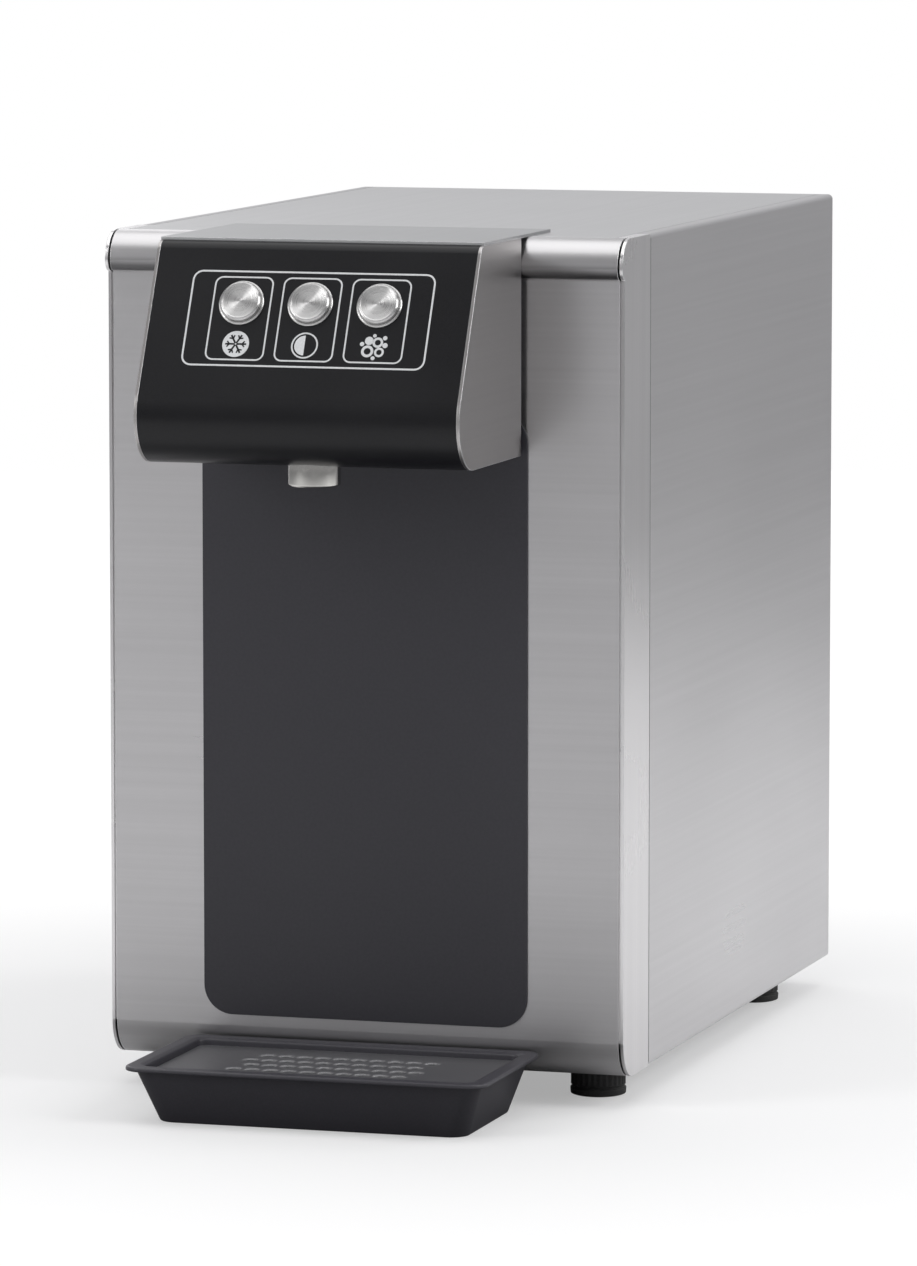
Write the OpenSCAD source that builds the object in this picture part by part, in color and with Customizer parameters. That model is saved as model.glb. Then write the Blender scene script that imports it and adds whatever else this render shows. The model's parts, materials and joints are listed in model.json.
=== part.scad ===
// Countertop water dispenser: a narrow stainless casing on four levelling feet, an overhanging
// dispensing head with three push buttons and one nozzle, a loose drip tray in front, and inside
// a small refrigeration circuit, an ice-bank tank with a carbonator, a pump and solenoid valves.
// Front is -Y, up is +Z. The origin is the bottom centre of the whole object's box.

/* [Casing] */
// Width of the casing over the side panels
body_w = 260; // [240:5:320]
// Depth of the casing from the front face to the rear panel
body_d = 405; // [390:5:490]
// Height of the casing without its feet
body_h = 405; // [400:5:490]
// Thickness of the formed stainless sheet
sheet_t = 1.2; // [1:0.1:1.5]
// Depth of the end cheeks that close the front module
cheek_d = 45; // [40:1:55]
// Gap that shows between the cheeks and their neighbours
seam = 1; // [0.3:0.1:1.2]
// Height of the rolled bead along the top of the front
bead_h = 20; // [18:1:24]
// How far the bead stands in front of the face
bead_out = 5; // [3:1:6]
// Radius over the top of the bead
bead_r = 14; // [12:1:16]
// Radius under the bead
curl_r = 6; // [5:1:8]
// Radius of the bottom edge of the front
chin_r = 18; // [12:1:22]
// Width of the flange along the top of each side panel
side_lip = 7; // [6:1:12]
// Radius of the side panels' folded edges
side_r = 2.5; // [2:0.5:4]

/* [Dispensing head] */
// Width of the head
head_w = 160; // [140:5:180]
// How far the head stands in front of the face
head_reach = 107; // [100:1:120]
// Height of the head from its underside to the casing top
head_h = 104; // [96:1:120]
// Lean of the head's front face from the vertical, in degrees
head_lean = 26.2; // [20:1:30]
// Radius of the head's lower front edge
head_chin_r = 23; // [16:1:26]
// Radius of the head's upper front edge
head_brow_r = 6; // [4:1:8]
// Shadow gap between the head and the face
head_gap = 5; // [3:1:6]
// Thickness of the head's plates
head_t = 1.5; // [1.2:0.1:2]
// Thickness of the moulded front cover
cover_t = 2; // [1.5:0.5:3]
// How far the top plate of the head runs back over the casing
top_plate_back = 45; // [40:1:60]

/* [Buttons and nozzle] */
// Radius of a button cap
cap_r = 9.9; // [8:0.1:10.5]
// Spacing of the buttons
button_pitch = 34; // [30:1:38]
// Height of the button centres below the casing top
button_drop = 28; // [26:1:34]
// Travel of a button
button_travel = 2; // [1:0.5:2.5]
// Radius of the nozzle
nozzle_r = 12.5; // [9:0.5:14]
// How far the nozzle stands below the head
nozzle_drop = 10; // [6:1:20]
// Distance of the nozzle in front of the face
nozzle_out = 78; // [70:1:82]

/* [Splash panel and drip tray] */
// Width of the splash panel
splash_w = 164; // [120:2:200]
// Radius of the splash panel's lower corners
splash_r = 14.5; // [8:0.5:20]
// Width of the drip tray over its rim
tray_w = 180; // [150:2:220]
// Depth of the drip tray over its rim
tray_d = 101; // [90:1:104]
// Height of the drip tray
tray_h = 28; // [24:1:34]
// How much narrower the tray's bottom is on each side
tray_taper = 13; // [6:1:16]
// Diameter of a hole in the grille
grille_hole = 6.6; // [4:0.2:7.4]

/* [Feet] */
// Height that the feet hold the casing off the counter
foot_h = 15; // [12:1:22]
// Radius of a foot pad
foot_r = 14; // [10:1:16]
// Radius of a foot's stud
stud_r = 4; // [3:0.5:5]

/* [Cooling and water] */
// Radius of the compressor's shell
compressor_r = 50; // [40:1:52]
// Height of the compressor's shell
compressor_h = 122; // [100:2:124]
// Radius of the condenser fan
fan_r = 48; // [35:1:50]
// Radius of the cold tank
tank_r = 74; // [60:1:76]
// Height of the cold tank
tank_h = 150; // [120:2:152]
// Wall of the tank's insulation
insulation_t = 14; // [10:1:15]
// Radius of the pump's motor
motor_r = 32; // [25:1:34]
// Radius of the push-fit tube that an inlet takes
tube_r = 3.2; // [3.2:0.8:4]

/* [Hidden] */
$fn = 64;

steel = [0.74, 0.74, 0.76];
bright = [0.86, 0.86, 0.87];
black = [0.13, 0.13, 0.14];
rubber = [0.08, 0.08, 0.08];
copper = [0.72, 0.43, 0.28];
grey = [0.45, 0.46, 0.48];
foam = [0.92, 0.9, 0.82];
board_green = [0.1, 0.35, 0.2];
enamel = [0.1, 0.1, 0.11];
brass = [0.8, 0.65, 0.3];
clear = [0.85, 0.9, 0.95];
white = [0.9, 0.9, 0.92];
red = [0.7, 0.1, 0.08];

// Running clearance, free clearance, the gap of parts that only lie near each other,
// the overlap that joins two shapes of one solid, and the small overrun of a cut
run = 0.05;
free = 0.3;
slack = 0.5;
weld = 0.1;
eps = 1;

// Levels and planes of the casing
half_w = body_w / 2;
base_z = foot_h;
top_z = foot_h + body_h;
floor_z = base_z + sheet_t;
base_t = 1.5;
deck_z = floor_z + base_t;
inner_w = half_w - sheet_t;
rear_in = body_d - 2 * sheet_t;
inlet_reach = 14;
shift_y = (head_reach - body_d - inlet_reach) / 2;

// Front module
bead_c = [bead_r - bead_out, top_z - bead_r];
curl_c = [curl_r - bead_out, top_z - bead_h + curl_r];
chin_c = [chin_r, base_z + chin_r];
bead_back = bead_c[0] + 1;
cover_gap = 1;
joggle = 16;
cheek_t = 1.5;
fascia_back = cheek_d - 5;
fascia_w = body_w - 2 * cheek_t - 2 * seam;
lap = 12;
flange = 12;
cover_w = body_w - 2 * side_lip - seam;
cover_skirt = 10;
cover_skirt_y = bead_back + joggle + 4;
duct_w = 108;
duct_h = 56;
duct_z = top_z - 78;

// Head: the face is a line that touches both edge radii
face_n = [-cos(head_lean), sin(head_lean)];
face_u = [sin(head_lean), cos(head_lean)];
head_bottom = top_z - head_h;
chin_hc = [head_chin_r - head_reach, head_bottom + head_chin_r];
face_foot = chin_hc + head_chin_r * face_n;
brow_run = (top_z - head_brow_r - face_foot[1] + head_brow_r * face_n[1]) / face_u[1];
brow_c = face_foot + brow_run * face_u - head_brow_r * face_n;
head_in_w = head_w - 2 * head_t;
brow_flange = 12;
frame_t = 1.5;

// Buttons, in the face's own frame with Z outwards
button_s = (top_z - button_drop - face_foot[1]) / face_u[1];
button_xs = [-button_pitch, 0, button_pitch];
cap_lip = 1.4;
cap_proud = button_travel + cap_lip;
cap_skirt = 4;
bezel_proud = 1;
bezel_w = 1.2;
housing_in = cap_r + run;
housing_out = cap_r + 0.7;
housing_depth = 21;
housing_floor = 2;
stem_r = 3;
stem_len = 9;
coil_r = 5.4;
wire_r = 0.4;
coil_turns = 4;
coil_steps = 40;

// Nozzle and its tube
nozzle_base = head_bottom - nozzle_drop;
nozzle_len = 20;
nozzle_stem_r = 7;
nozzle_stem = 20;
nozzle_bore = 8.5;
nozzle_bore_h = 5;
outlet_r = 4;
outlet_z = duct_z + 20;
holder_h = 14;
holder_w = 44;
holder_wall = 4;
tube_seat = 8;

// Splash panel
splash_t = 1;
splash_bottom = base_z + 23.5;
splash_top = duct_z - 6;

// Drip tray
tray_rear = 1;
tray_rim = 2.5;
tray_lip = 4;
tray_wall = 2;
tray_r = 9;
tray_foot_y = 8;
grille_t = 1.5;
grille_drop = 3.5;
grille_margin = 9;
grille_gap = 0.4;
grille_pitch = 9.2;
grille_rows = 4;
grille_cols = 10;
grille_row_pitch = 13;
grille_w = tray_w - 2 * grille_margin;
grille_d = tray_d - 2 * grille_margin;
tray_y = -tray_rear - tray_d / 2;
grille_z = tray_h - grille_drop - grille_t;

// Feet
foot_x = half_w - 26;
foot_front = 48;
foot_rear = 60;
stud_over = 4;
nut_h = 6.5;
nut_r = 8;

// Bulkhead and front bay
bulkhead_y = 190;
bulkhead_h = body_h - 20;
bulkhead_w = 2 * (inner_w - 2);

// Condenser and fan, behind on the right
cond_x = 12;
cond_w = 106;
cond_d = 36;
cond_h = 130;
cond_y = rear_in - 12 - cond_d;
cond_z = deck_z + 12;
cond_rows = 4;
cond_row_pitch = 30;
cond_tube_r = 4;
cond_tube_gap = 17;
fin_count = 12;
fin_t = 0.6;
fan_x = cond_x + cond_w / 2;
fan_z = cond_z + cond_h / 2;
shroud_t = 2;
shroud_d = 22;
shroud_y = cond_y - shroud_t;
shroud_gap = 3;
hub_r = 17;
shaft_r = 3;
blade_t = 1.5;
blade_w = 16;
blade_pitch = 35;
blade_count = 5;
fan_motor_r = 22;
fan_motor_len = 30;
fan_motor_gap = 2;
spoke_t = 3;
spoke_w = 8;
spoke_count = 3;
spoke_turn = 30;
blade_root = 2;
rotor_y = shroud_y - shroud_d / 2;

// Compressor, behind on the left
comp_x = -(half_w - 68);
comp_y = rear_in - 130;
grommet_h = 12;
grommet_r = 8;
comp_plate_t = 3;
comp_plate = [116, 112];
comp_z = deck_z + grommet_h + comp_plate_t;
comp_edge = 22;
stub_len = 8;
stub_r = 5;
pipe_r = 3;
suction_r = 4;
discharge_y = comp_y - 10;
discharge_z = comp_z + 28;
suction_z = comp_z + 68;

// Filter drier and the capillary tube that leaves it
drier_r = 9;
drier_edge = 7;
drier_len = 70;
drier_x = 36;
cap_tube_x = half_w - 14;
cap_tube_r = 1.5;
cond_x_lo = cond_x - 8;
cond_x_hi = cond_x + cond_w + 4;
hot_gap = 5;
cap_rise = 6;
return_gap = 8;

// Ice bank, on a shelf above the compressor
shelf_t = 1.5;
shelf_z = comp_z + compressor_h + 14;
tank_x = comp_x + 28;
tank_y = rear_in - 16 - tank_r - insulation_t;
block_h = tank_h + insulation_t;
block_w = 2 * (tank_r + insulation_t);
tank_z = shelf_z + shelf_t + insulation_t;
tank_t = 1;
lid_z = shelf_z + shelf_t + block_h;
lid_t = 10;
evap_r = tank_r - 8;
evap_tube = 4;
evap_turns = 8;
evap_pitch = 14;
riser_top = lid_z + lid_t + 5;
return_r = evap_r - 3 * evap_tube;
evap_z = tank_z + tank_t + 8;
drier_y = bulkhead_y + 34;
drier_z = shelf_z - 26;

// The carbonator and the stirrer share the room inside the coil: what is spare between them
// is dealt out left of the carbonator, between the two and right of the stirrer
carb_r = 26;
carb_h = 120;
carb_edge = 12;
carb_port = 10;
impeller_r = 12;
impeller_h = 8;
impeller_blades = 3;
coil_room = evap_r - evap_tube;
spare = 2 * (coil_room - carb_r - impeller_r);
carb_share = 5 / 12;
stir_share = 1 / 3;
carb_x = tank_x - coil_room + carb_share * spare + carb_r;
stir_x = tank_x + coil_room - stir_share * spare - impeller_r;
stir_r = 2.5;
stir_z = tank_z + 24;
stir_hub_h = 10;
stir_motor_r = 18;
stir_motor_h = 30;
stir_socket = 27;
stir_top = 22;
tank_line_z = riser_top + 20;
tank_line_gap = 8;
line_room = 4;

// Front bay
pump_x = -(half_w - 62);
pump_z = deck_z + motor_r + 8;
pump_front = 62;
pump_len = 34;
motor_len = 84;
pump_r = 22;
psu_x = 14;
psu_w = 104;
psu_d = 104;
psu_h = 42;
slots = 8;
slot_x = 12;
slot_w = 5;
slot_pitch = 10.5;
slot_in = 8;
slot_end = 40;
slot_depth = 3;
board_x = 12;
board_w = 106;
board_h = 96;
board_z = deck_z + psu_h + 24;
board_t = 1.6;
board_edge = 6;
standoff = 8;
standoff_r = 3;
relay = [16, 14, 28];
relay_at = [12, 12];
relay_pitch = 22;
relays = 4;
chip = [16, 3, 16];
chip_at = [30, 54];
can_at = [80, 66];
can_r = 9;
can_h = 20;
filter_x = -(half_w - 44);
filter_y = 122;
filter_r = 32;
filter_h = 196;
filter_z = pump_z + motor_r + 30;
valve_x = 20;
valve_pitch = 34;
valve_y = 80;
valve_block_z = outlet_z - 11;
valve_block_h = 22;
valve_block_d = 36;
coil_w = 26;
coil_h = 28;
core_r = 6;
core_h = 4;
port_depth = 10;
port_push = 8;
port_end = 6;
pump_port = 7;
tube_turn = 12;
link_x = valve_x - 2 * valve_pitch;
window_h = 40;
window_side = 10;
filter_head = 26;
filter_port = 10;
filter_edge = 10;
filter_neck = 6;
filter_lug_w = 24;
filter_lug = 4;
motor_foot_w = 48;
motor_foot_in = 6;
motor_foot_h = 8;

// Rear connections
water_x = half_w - 46;
inlet_z = top_z - 60;
inlet_pitch = 40;
fitting_r = 9;
fitting_nut_r = 12;
fitting_nut_h = 5;
fitting_in = 22;
tube_depth = 15;
power_x = half_w - 40;
power_z = top_z - 130;
socket_w = 28;
socket_h = 48;
socket_flange = 3;
socket_depth = 26;
plug_w = 24;
plug_h = 16.4;
plug_depth = 17;
rocker_w = 19;
rocker_r = 6.4;
rocker_axle = 1.5;
rocker_tilt = 10;
rocker_dish = 1.6;
axle_in = 1;
socket_rim = 4;
socket_share = 13;
rocker_z = power_z + socket_h / 2 - socket_share;
plug_z = power_z - socket_h / 2 + socket_share;
rocker_y = body_d - 1;
pin_len = 11;
pin_w = 2;
pin_h = 4;
pins = [[-7, -2], [0, 2], [7, -2]];
screw_r = 2;
screw_head_r = 4;
screw_head_h = 2.2;
rear_w = body_w - 2 * side_r;
rear_screw_xs = [-(half_w - 7), half_w - 7];
rear_screw_zs = [for (i = [0 : 3]) base_z + 24 + i * (body_h - 70) / 3];
vent_w = 46;
vent_h = 5;
vent_pitch = 11;
vent_rows = 11;
vent_xs = [comp_x, fan_x - vent_w / 2 - 4, fan_x + vent_w / 2 + 4];

// ---------- helpers ----------

// Moves a child from the face's frame (Y = 0 at the front face) to the object's frame
module placed() translate([0, shift_y, 0]) children();

// Extrudes an outline drawn with Y to the right and Z up along X
module along_x(x0, w) translate([x0, 0, 0]) rotate([90, 0, 90]) linear_extrude(w) children();

// Extrudes an outline drawn with X to the right and Z up along Y
module along_y(y0, d) translate([0, y0 + d, 0]) rotate([90, 0, 0]) linear_extrude(d) children();

// A box from its lowest corner to its highest corner
module box(a, b) translate(a) cube(b - a);

// A cylinder along Y from y0 over d
module rod_y(x, z, y0, d, r) translate([x, y0, z]) rotate([-90, 0, 0]) cylinder(h = d, r = r);

// The quarter of a disc that lies towards (sx, sy) from its centre
module quarter(c, r, sx, sy) translate(c) intersection() {
    circle(r = r);
    translate([sx < 0 ? -r : 0, sy < 0 ? -r : 0]) square(r);
}

// A rectangle with round corners, centred
module round_rect(w, h, r) {
    square([w - 2 * r, h], center = true);
    square([w, h - 2 * r], center = true);
    for (sx = [-1, 1], sy = [-1, 1])
        translate([sx * (w / 2 - r), sy * (h / 2 - r)]) circle(r = r);
}

// A pipe through a list of points, with round corners
module pipe(points, r) {
    for (i = [0 : len(points) - 2]) {
        d = points[i + 1] - points[i];
        translate(points[i]) rotate([0, acos(d[2] / norm(d)), atan2(d[1], d[0])])
            cylinder(h = norm(d), r = r);
    }
    if (len(points) > 2) for (i = [1 : len(points) - 2]) translate(points[i]) sphere(r = r);
}

// A compression spring that stands on z = 0: a six-sided wire carried round a helix
function helix_ring(i, len, r) = let (turn = i / coil_steps)
    [for (k = [0 : 5]) let (a = 360 * turn * coil_turns, w = 60 * k)
        [(r + wire_r * cos(w)) * cos(a), (r + wire_r * cos(w)) * sin(a),
            wire_r + turn * (len - 2 * wire_r) + wire_r * sin(w)]];

module coil_spring(len, r) {
    last = 6 * coil_steps;
    points = [for (i = [0 : coil_steps], p = helix_ring(i, len, r)) p];
    sides = [for (i = [0 : coil_steps - 1], k = [0 : 5])
        [6 * i + k, 6 * (i + 1) + k, 6 * (i + 1) + (k + 1) % 6, 6 * i + (k + 1) % 6]];
    polyhedron(points, concat([[0, 1, 2, 3, 4, 5]], sides,
        [[last + 5, last + 4, last + 3, last + 2, last + 1, last]]), convexity = 10);
}

// ---------- outlines ----------

// Side outline of the front module: bead, curl, flat face and rounded bottom edge
module front_outline(inset, back) {
    top = top_z - inset;
    bottom = base_z + inset;
    lip = top_z - bead_h + inset;
    polygon([[back, top], [bead_c[0], top], [inset - bead_out, bead_c[1]], [curl_c[0], lip],
        [inset, lip], [inset, chin_c[1]], [chin_c[0], bottom], [back, bottom]]);
    quarter(bead_c, bead_r - inset, -1, 1);
    quarter(curl_c, curl_r - inset, -1, -1);
    quarter(chin_c, chin_r - inset, -1, -1);
}

// Side outline of the dispensing head
module head_outline(inset, back = -head_gap) {
    chin_p = chin_hc + (head_chin_r - inset) * face_n;
    brow_p = brow_c + (head_brow_r - inset) * face_n;
    polygon([[back, top_z - inset], [brow_c[0], top_z - inset], brow_p, chin_p,
        [chin_hc[0], head_bottom + inset], [back, head_bottom + inset]]);
    translate(chin_hc) circle(r = head_chin_r - inset);
    translate(brow_c) circle(r = head_brow_r - inset);
}

// Front outline of a side panel, with its top and bottom flanges
module side_outline(inset, lip) {
    x1 = half_w - inset;
    z0 = base_z + inset;
    z1 = top_z - inset;
    r = side_r - inset;
    polygon([[half_w - lip, z0], [x1 - r, z0], [x1, z0 + r], [x1, z1 - r], [x1 - r, z1],
        [half_w - lip, z1]]);
    quarter([x1 - r, z0 + r], r, 1, -1);
    quarter([x1 - r, z1 - r], r, 1, 1);
}

// Puts a child on the head's face: X across, Y up the face, Z outwards, s up from its foot
module on_face(x, s) translate([x, face_foot[0], face_foot[1]]) rotate([90 - head_lean, 0, 0])
    translate([0, s, 0]) children();

// ---------- casing ----------

module base_plate() placed() color(grey) difference() {
    union() {
        box([-inner_w + side_r, chin_r + 4, floor_z], [inner_w - side_r, rear_in, deck_z]);
        for (sx = [-1, 1], y = [foot_front, body_d - foot_rear])
            translate([sx * foot_x, y, deck_z]) cylinder(h = nut_h, r = nut_r, $fn = 6);
    }
    for (sx = [-1, 1], y = [foot_front, body_d - foot_rear])
        translate([sx * foot_x, y, floor_z - eps])
            cylinder(h = base_t + nut_h + 2 * eps, r = stud_r + run);
}

module front_fascia() placed() color(steel) difference() {
    along_x(-fascia_w / 2, fascia_w) {
        difference() {
            front_outline(0, fascia_back);
            front_outline(sheet_t, fascia_back + eps);
            translate([bead_back, top_z - bead_h]) square([body_d, 2 * bead_h]);
        }
        translate([bead_back - sheet_t, top_z - 2 * sheet_t]) square([sheet_t, 2 * sheet_t]);
        translate([bead_back - sheet_t, top_z - 2 * sheet_t]) square([joggle, sheet_t]);
    }
    box([-duct_w / 2 - free, -eps, duct_z - free],
        [duct_w / 2 + free, sheet_t + eps, duct_z + duct_h + free]);
}

module cheek(side) placed() color(steel) {
    x_out = side > 0 ? half_w - cheek_t : -half_w;
    along_x(x_out, cheek_t) front_outline(0, cheek_d);
    x_in = side > 0 ? half_w - cheek_t - lap : -half_w + cheek_t;
    box([x_in, sheet_t, chin_c[1]], [x_in + lap, 2 * sheet_t, curl_c[1] - curl_r]);
    box([x_in, cheek_d - sheet_t, deck_z + eps], [x_in + lap, cheek_d, top_z - bead_h]);
    lip_x = side > 0 ? half_w - side_lip : -half_w;
    box([lip_x, bead_back + seam, top_z - sheet_t], [lip_x + side_lip, cheek_d, top_z]);
}
module left_cheek() cheek(-1);
module right_cheek() cheek(1);

module side_panel(side) placed() color(steel) mirror([side < 0 ? 1 : 0, 0, 0]) {
    along_y(cheek_d + seam, body_d - cheek_d - seam) difference() {
        side_outline(0, flange);
        side_outline(sheet_t, flange + eps);
        translate([0, top_z - 2 * side_r]) square([half_w - side_lip, 4 * side_r]);
    }
    box([half_w - flange, cheek_d, deck_z + eps],
        [half_w - sheet_t / 2, cheek_d + sheet_t, top_z - bead_h]);
    box([half_w - flange, rear_in, deck_z + eps],
        [half_w - sheet_t / 2, rear_in + sheet_t, top_z - bead_h]);
}
module left_side_panel() side_panel(-1);
module right_side_panel() side_panel(1);

module top_cover() placed() color(steel) {
    y0 = bead_back + cover_gap;
    box([-cover_w / 2, y0, top_z - sheet_t], [cover_w / 2, body_d, top_z]);
    for (x = [-cover_w / 2, cover_w / 2 - sheet_t])
        box([x, cover_skirt_y, top_z - sheet_t - cover_skirt],
            [x + sheet_t, rear_in - flange - slack, top_z - sheet_t + eps / 2]);
}

module rear_hole(x, z, w, h) box([x - w / 2, body_d - sheet_t - eps, z - h / 2],
    [x + w / 2, body_d + eps, z + h / 2]);

module rear_panel() placed() color(grey) difference() {
    union() {
        box([-rear_w / 2, body_d - sheet_t, floor_z], [rear_w / 2, body_d, top_z - sheet_t]);
        box([-cover_w / 2, body_d - flange, top_z - 2 * sheet_t],
            [cover_w / 2, body_d, top_z - sheet_t]);
    }
    for (i = [0 : vent_rows - 1], x = vent_xs)
        rear_hole(x, cond_z + vent_h + i * vent_pitch, vent_w, vent_h);
    for (x = [water_x, water_x - inlet_pitch])
        rod_y(x, inlet_z, body_d - sheet_t - eps, sheet_t + 2 * eps, fitting_r + free);
    rear_hole(power_x, power_z, socket_w + 2 * free, socket_h + 2 * free);
    for (x = rear_screw_xs, z = rear_screw_zs)
        rod_y(x, z, body_d - sheet_t - eps, sheet_t + 2 * eps, screw_r + free);
}

module rear_screws() placed() color(bright) for (x = rear_screw_xs, z = rear_screw_zs) {
    rod_y(x, z, body_d, screw_head_h, screw_head_r);
    rod_y(x, z, body_d - sheet_t, sheet_t + eps, screw_r);
}

module splash_panel() placed() color(black) along_y(-splash_t, splash_t) {
    h = splash_top - splash_bottom;
    translate([0, splash_bottom + h / 2]) round_rect(splash_w, h, splash_r);
}

// ---------- dispensing head ----------

module head_side(x0) placed() color(steel) along_x(x0, head_t) head_outline(0);
module head_left_side() head_side(-head_w / 2);
module head_right_side() head_side(head_w / 2 - head_t);

module head_front_cover() placed() color(black) difference() {
    along_x(-head_in_w / 2 + run, head_in_w - 2 * run) difference() {
        head_outline(0);
        head_outline(cover_t, eps);
        translate([brow_c[0] + brow_flange, top_z - head_h / 2]) square([head_reach, head_h]);
    }
    for (x = button_xs) on_face(x, button_s) translate([0, 0, -2 * cover_t])
        cylinder(h = 4 * cover_t, r = housing_out + run);
    translate([0, -nozzle_out, head_bottom - eps])
        cylinder(h = head_chin_r / 2, r = nozzle_r + run);
}

module head_top_plate() placed() color(steel)
    box([-head_w / 2, brow_c[0], top_z], [head_w / 2, top_plate_back, top_z + head_t]);

// A sheet-metal duct that carries the head: it passes through the face with a flange behind it
module head_frame() placed() color(grey) difference() {
    union() {
        box([-duct_w / 2, -duct_h / 2, duct_z], [duct_w / 2, duct_h / 2, duct_z + duct_h]);
        box([-duct_w / 2 - lap, sheet_t, duct_z - lap],
            [duct_w / 2 + lap, sheet_t + frame_t, duct_z + duct_h + lap / 2]);
        box([-head_in_w / 2, -head_gap - frame_t, head_bottom + cover_t],
            [head_in_w / 2, -head_gap, top_z]);
    }
    box([-duct_w / 2 + frame_t, -duct_h, duct_z + frame_t],
        [duct_w / 2 - frame_t, duct_h, duct_z + duct_h - frame_t]);
}

// The block inside the head that the nozzle is pressed into
module nozzle_holder() placed() color(grey) difference() {
    intersection() {
        along_x(-holder_w / 2, holder_w) head_outline(cover_t + run);
        box([-holder_w, -nozzle_out - nozzle_r - holder_wall, head_bottom],
            [holder_w, -head_gap - frame_t, head_bottom + cover_t + holder_h]);
    }
    translate([0, -nozzle_out, head_bottom - eps])
        cylinder(h = holder_h + cover_t + 2 * eps, r = nozzle_r + run);
}

module nozzle() placed() color(bright) translate([0, -nozzle_out, nozzle_base]) difference() {
    union() {
        cylinder(h = nozzle_len, r = nozzle_r);
        cylinder(h = nozzle_len + nozzle_stem, r = nozzle_stem_r);
    }
    translate([0, 0, -eps]) cylinder(h = nozzle_bore_h + eps, r = nozzle_bore);
    translate([0, 0, -eps]) cylinder(h = nozzle_len + nozzle_stem + 2 * eps, r = outlet_r + run);
}

module button_housings() placed() color(bright) for (x = button_xs) on_face(x, button_s)
    difference() {
        union() {
            translate([0, 0, -housing_depth]) cylinder(h = housing_depth, r = housing_out);
            cylinder(h = bezel_proud, r = cap_r + bezel_w);
        }
        translate([0, 0, housing_floor - housing_depth])
            cylinder(h = housing_depth + bezel_proud, r = housing_in);
    }

module button(x) placed() color(bright) on_face(x, button_s) {
    translate([0, 0, -cap_skirt]) cylinder(h = cap_skirt + cap_proud, r = cap_r);
    translate([0, 0, -cap_skirt - stem_len]) cylinder(h = stem_len + eps, r = stem_r);
}
module cold_button() button(button_xs[0]);
module ambient_button() button(button_xs[1]);
module sparkling_button() button(button_xs[2]);

module button_spring(x) placed() color(grey) on_face(x, button_s)
    translate([0, 0, housing_floor - housing_depth])
        coil_spring(housing_depth - housing_floor - cap_skirt, coil_r);
module cold_button_spring() button_spring(button_xs[0]);
module ambient_button_spring() button_spring(button_xs[1]);
module sparkling_button_spring() button_spring(button_xs[2]);

// ---------- drip tray ----------

// A flat slab with round corners, between two depths
module slab(w, y0, y1, z, t, r) translate([0, (y0 + y1) / 2, z]) linear_extrude(t)
    round_rect(w, y1 - y0, r);

module drip_tray() placed() color(black) difference() {
    front = -tray_rear - tray_d;
    union() {
        hull() {
            slab(tray_w - 2 * tray_taper, front + tray_taper, -tray_rear - tray_foot_y, 0,
                eps / 2, tray_r);
            slab(tray_w - 2 * tray_lip, front + tray_lip, -tray_rear - tray_lip,
                tray_h - tray_rim - eps / 2, eps / 2, tray_r);
        }
        slab(tray_w, front, -tray_rear, tray_h - tray_rim, tray_rim, tray_r);
    }
    hull() {
        slab(tray_w - 2 * tray_taper - 2 * tray_wall, front + tray_taper + tray_wall,
            -tray_rear - tray_foot_y - tray_wall, tray_wall, eps / 2, tray_r - tray_wall);
        slab(grille_w - 2 * tray_lip, tray_y - grille_d / 2 + tray_lip,
            tray_y + grille_d / 2 - tray_lip, grille_z - eps / 2, eps, tray_r - tray_wall);
    }
    slab(grille_w + 2 * grille_gap, tray_y - grille_d / 2 - grille_gap,
        tray_y + grille_d / 2 + grille_gap, grille_z, tray_h, tray_r / 2 + grille_gap);
}

module tray_grille() placed() color(black) difference() {
    slab(grille_w, tray_y - grille_d / 2, tray_y + grille_d / 2, grille_z, grille_t, tray_r / 2);
    for (row = [0 : grille_rows - 1], col = [0 : grille_cols - 1])
        translate([(col - (grille_cols - 1) / 2 + (row % 2 - 0.5) / 2) * grille_pitch,
            tray_y + (row - (grille_rows - 1) / 2) * grille_row_pitch, grille_z - eps])
            cylinder(h = grille_t + 2 * eps, r = grille_hole / 2);
}

// ---------- feet ----------

module foot(x, y) placed() color(rubber) translate([x, y, 0]) {
    cylinder(h = foot_h - free, r = foot_r);
    cylinder(h = deck_z + nut_h + stud_over, r = stud_r);
}
module front_left_foot() foot(-foot_x, foot_front);
module front_right_foot() foot(foot_x, foot_front);
module rear_left_foot() foot(-foot_x, body_d - foot_rear);
module rear_right_foot() foot(foot_x, body_d - foot_rear);

// ---------- refrigeration ----------

// A drawn shell with round top and bottom edges
module shell(h, r, edge) rotate_extrude() {
    square([r - edge, h]);
    translate([0, edge]) square([r, h - 2 * edge]);
    quarter([r - edge, edge], edge, 1, -1);
    quarter([r - edge, h - edge], edge, 1, 1);
}

module compressor() placed() color(enamel) difference() {
    union() {
        translate([comp_x, comp_y, comp_z]) shell(compressor_h, compressor_r, comp_edge);
        translate([comp_x - comp_plate[0] / 2, comp_y - comp_plate[1] / 2, comp_z - comp_plate_t])
            cube([comp_plate[0], comp_plate[1], comp_plate_t]);
        translate([comp_x, discharge_y, discharge_z]) rotate([0, 90, 0])
            cylinder(h = compressor_r + stub_len, r = stub_r);
        rod_y(comp_x, suction_z, comp_y, compressor_r + stub_len, stub_r + 1);
    }
    translate([comp_x + compressor_r, discharge_y, discharge_z]) rotate([0, 90, 0])
        cylinder(h = stub_len + eps, r = pipe_r + run);
    rod_y(comp_x, suction_z, comp_y + compressor_r, stub_len + eps, suction_r + run);
}

module compressor_grommets() placed() color(rubber) for (sx = [-1, 1], sy = [-1, 1])
    translate([comp_x + sx * (comp_plate[0] / 2 - grommet_r), comp_y
        + sy * (comp_plate[1] / 2 - grommet_r), deck_z]) cylinder(h = grommet_h, r = grommet_r);

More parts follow.
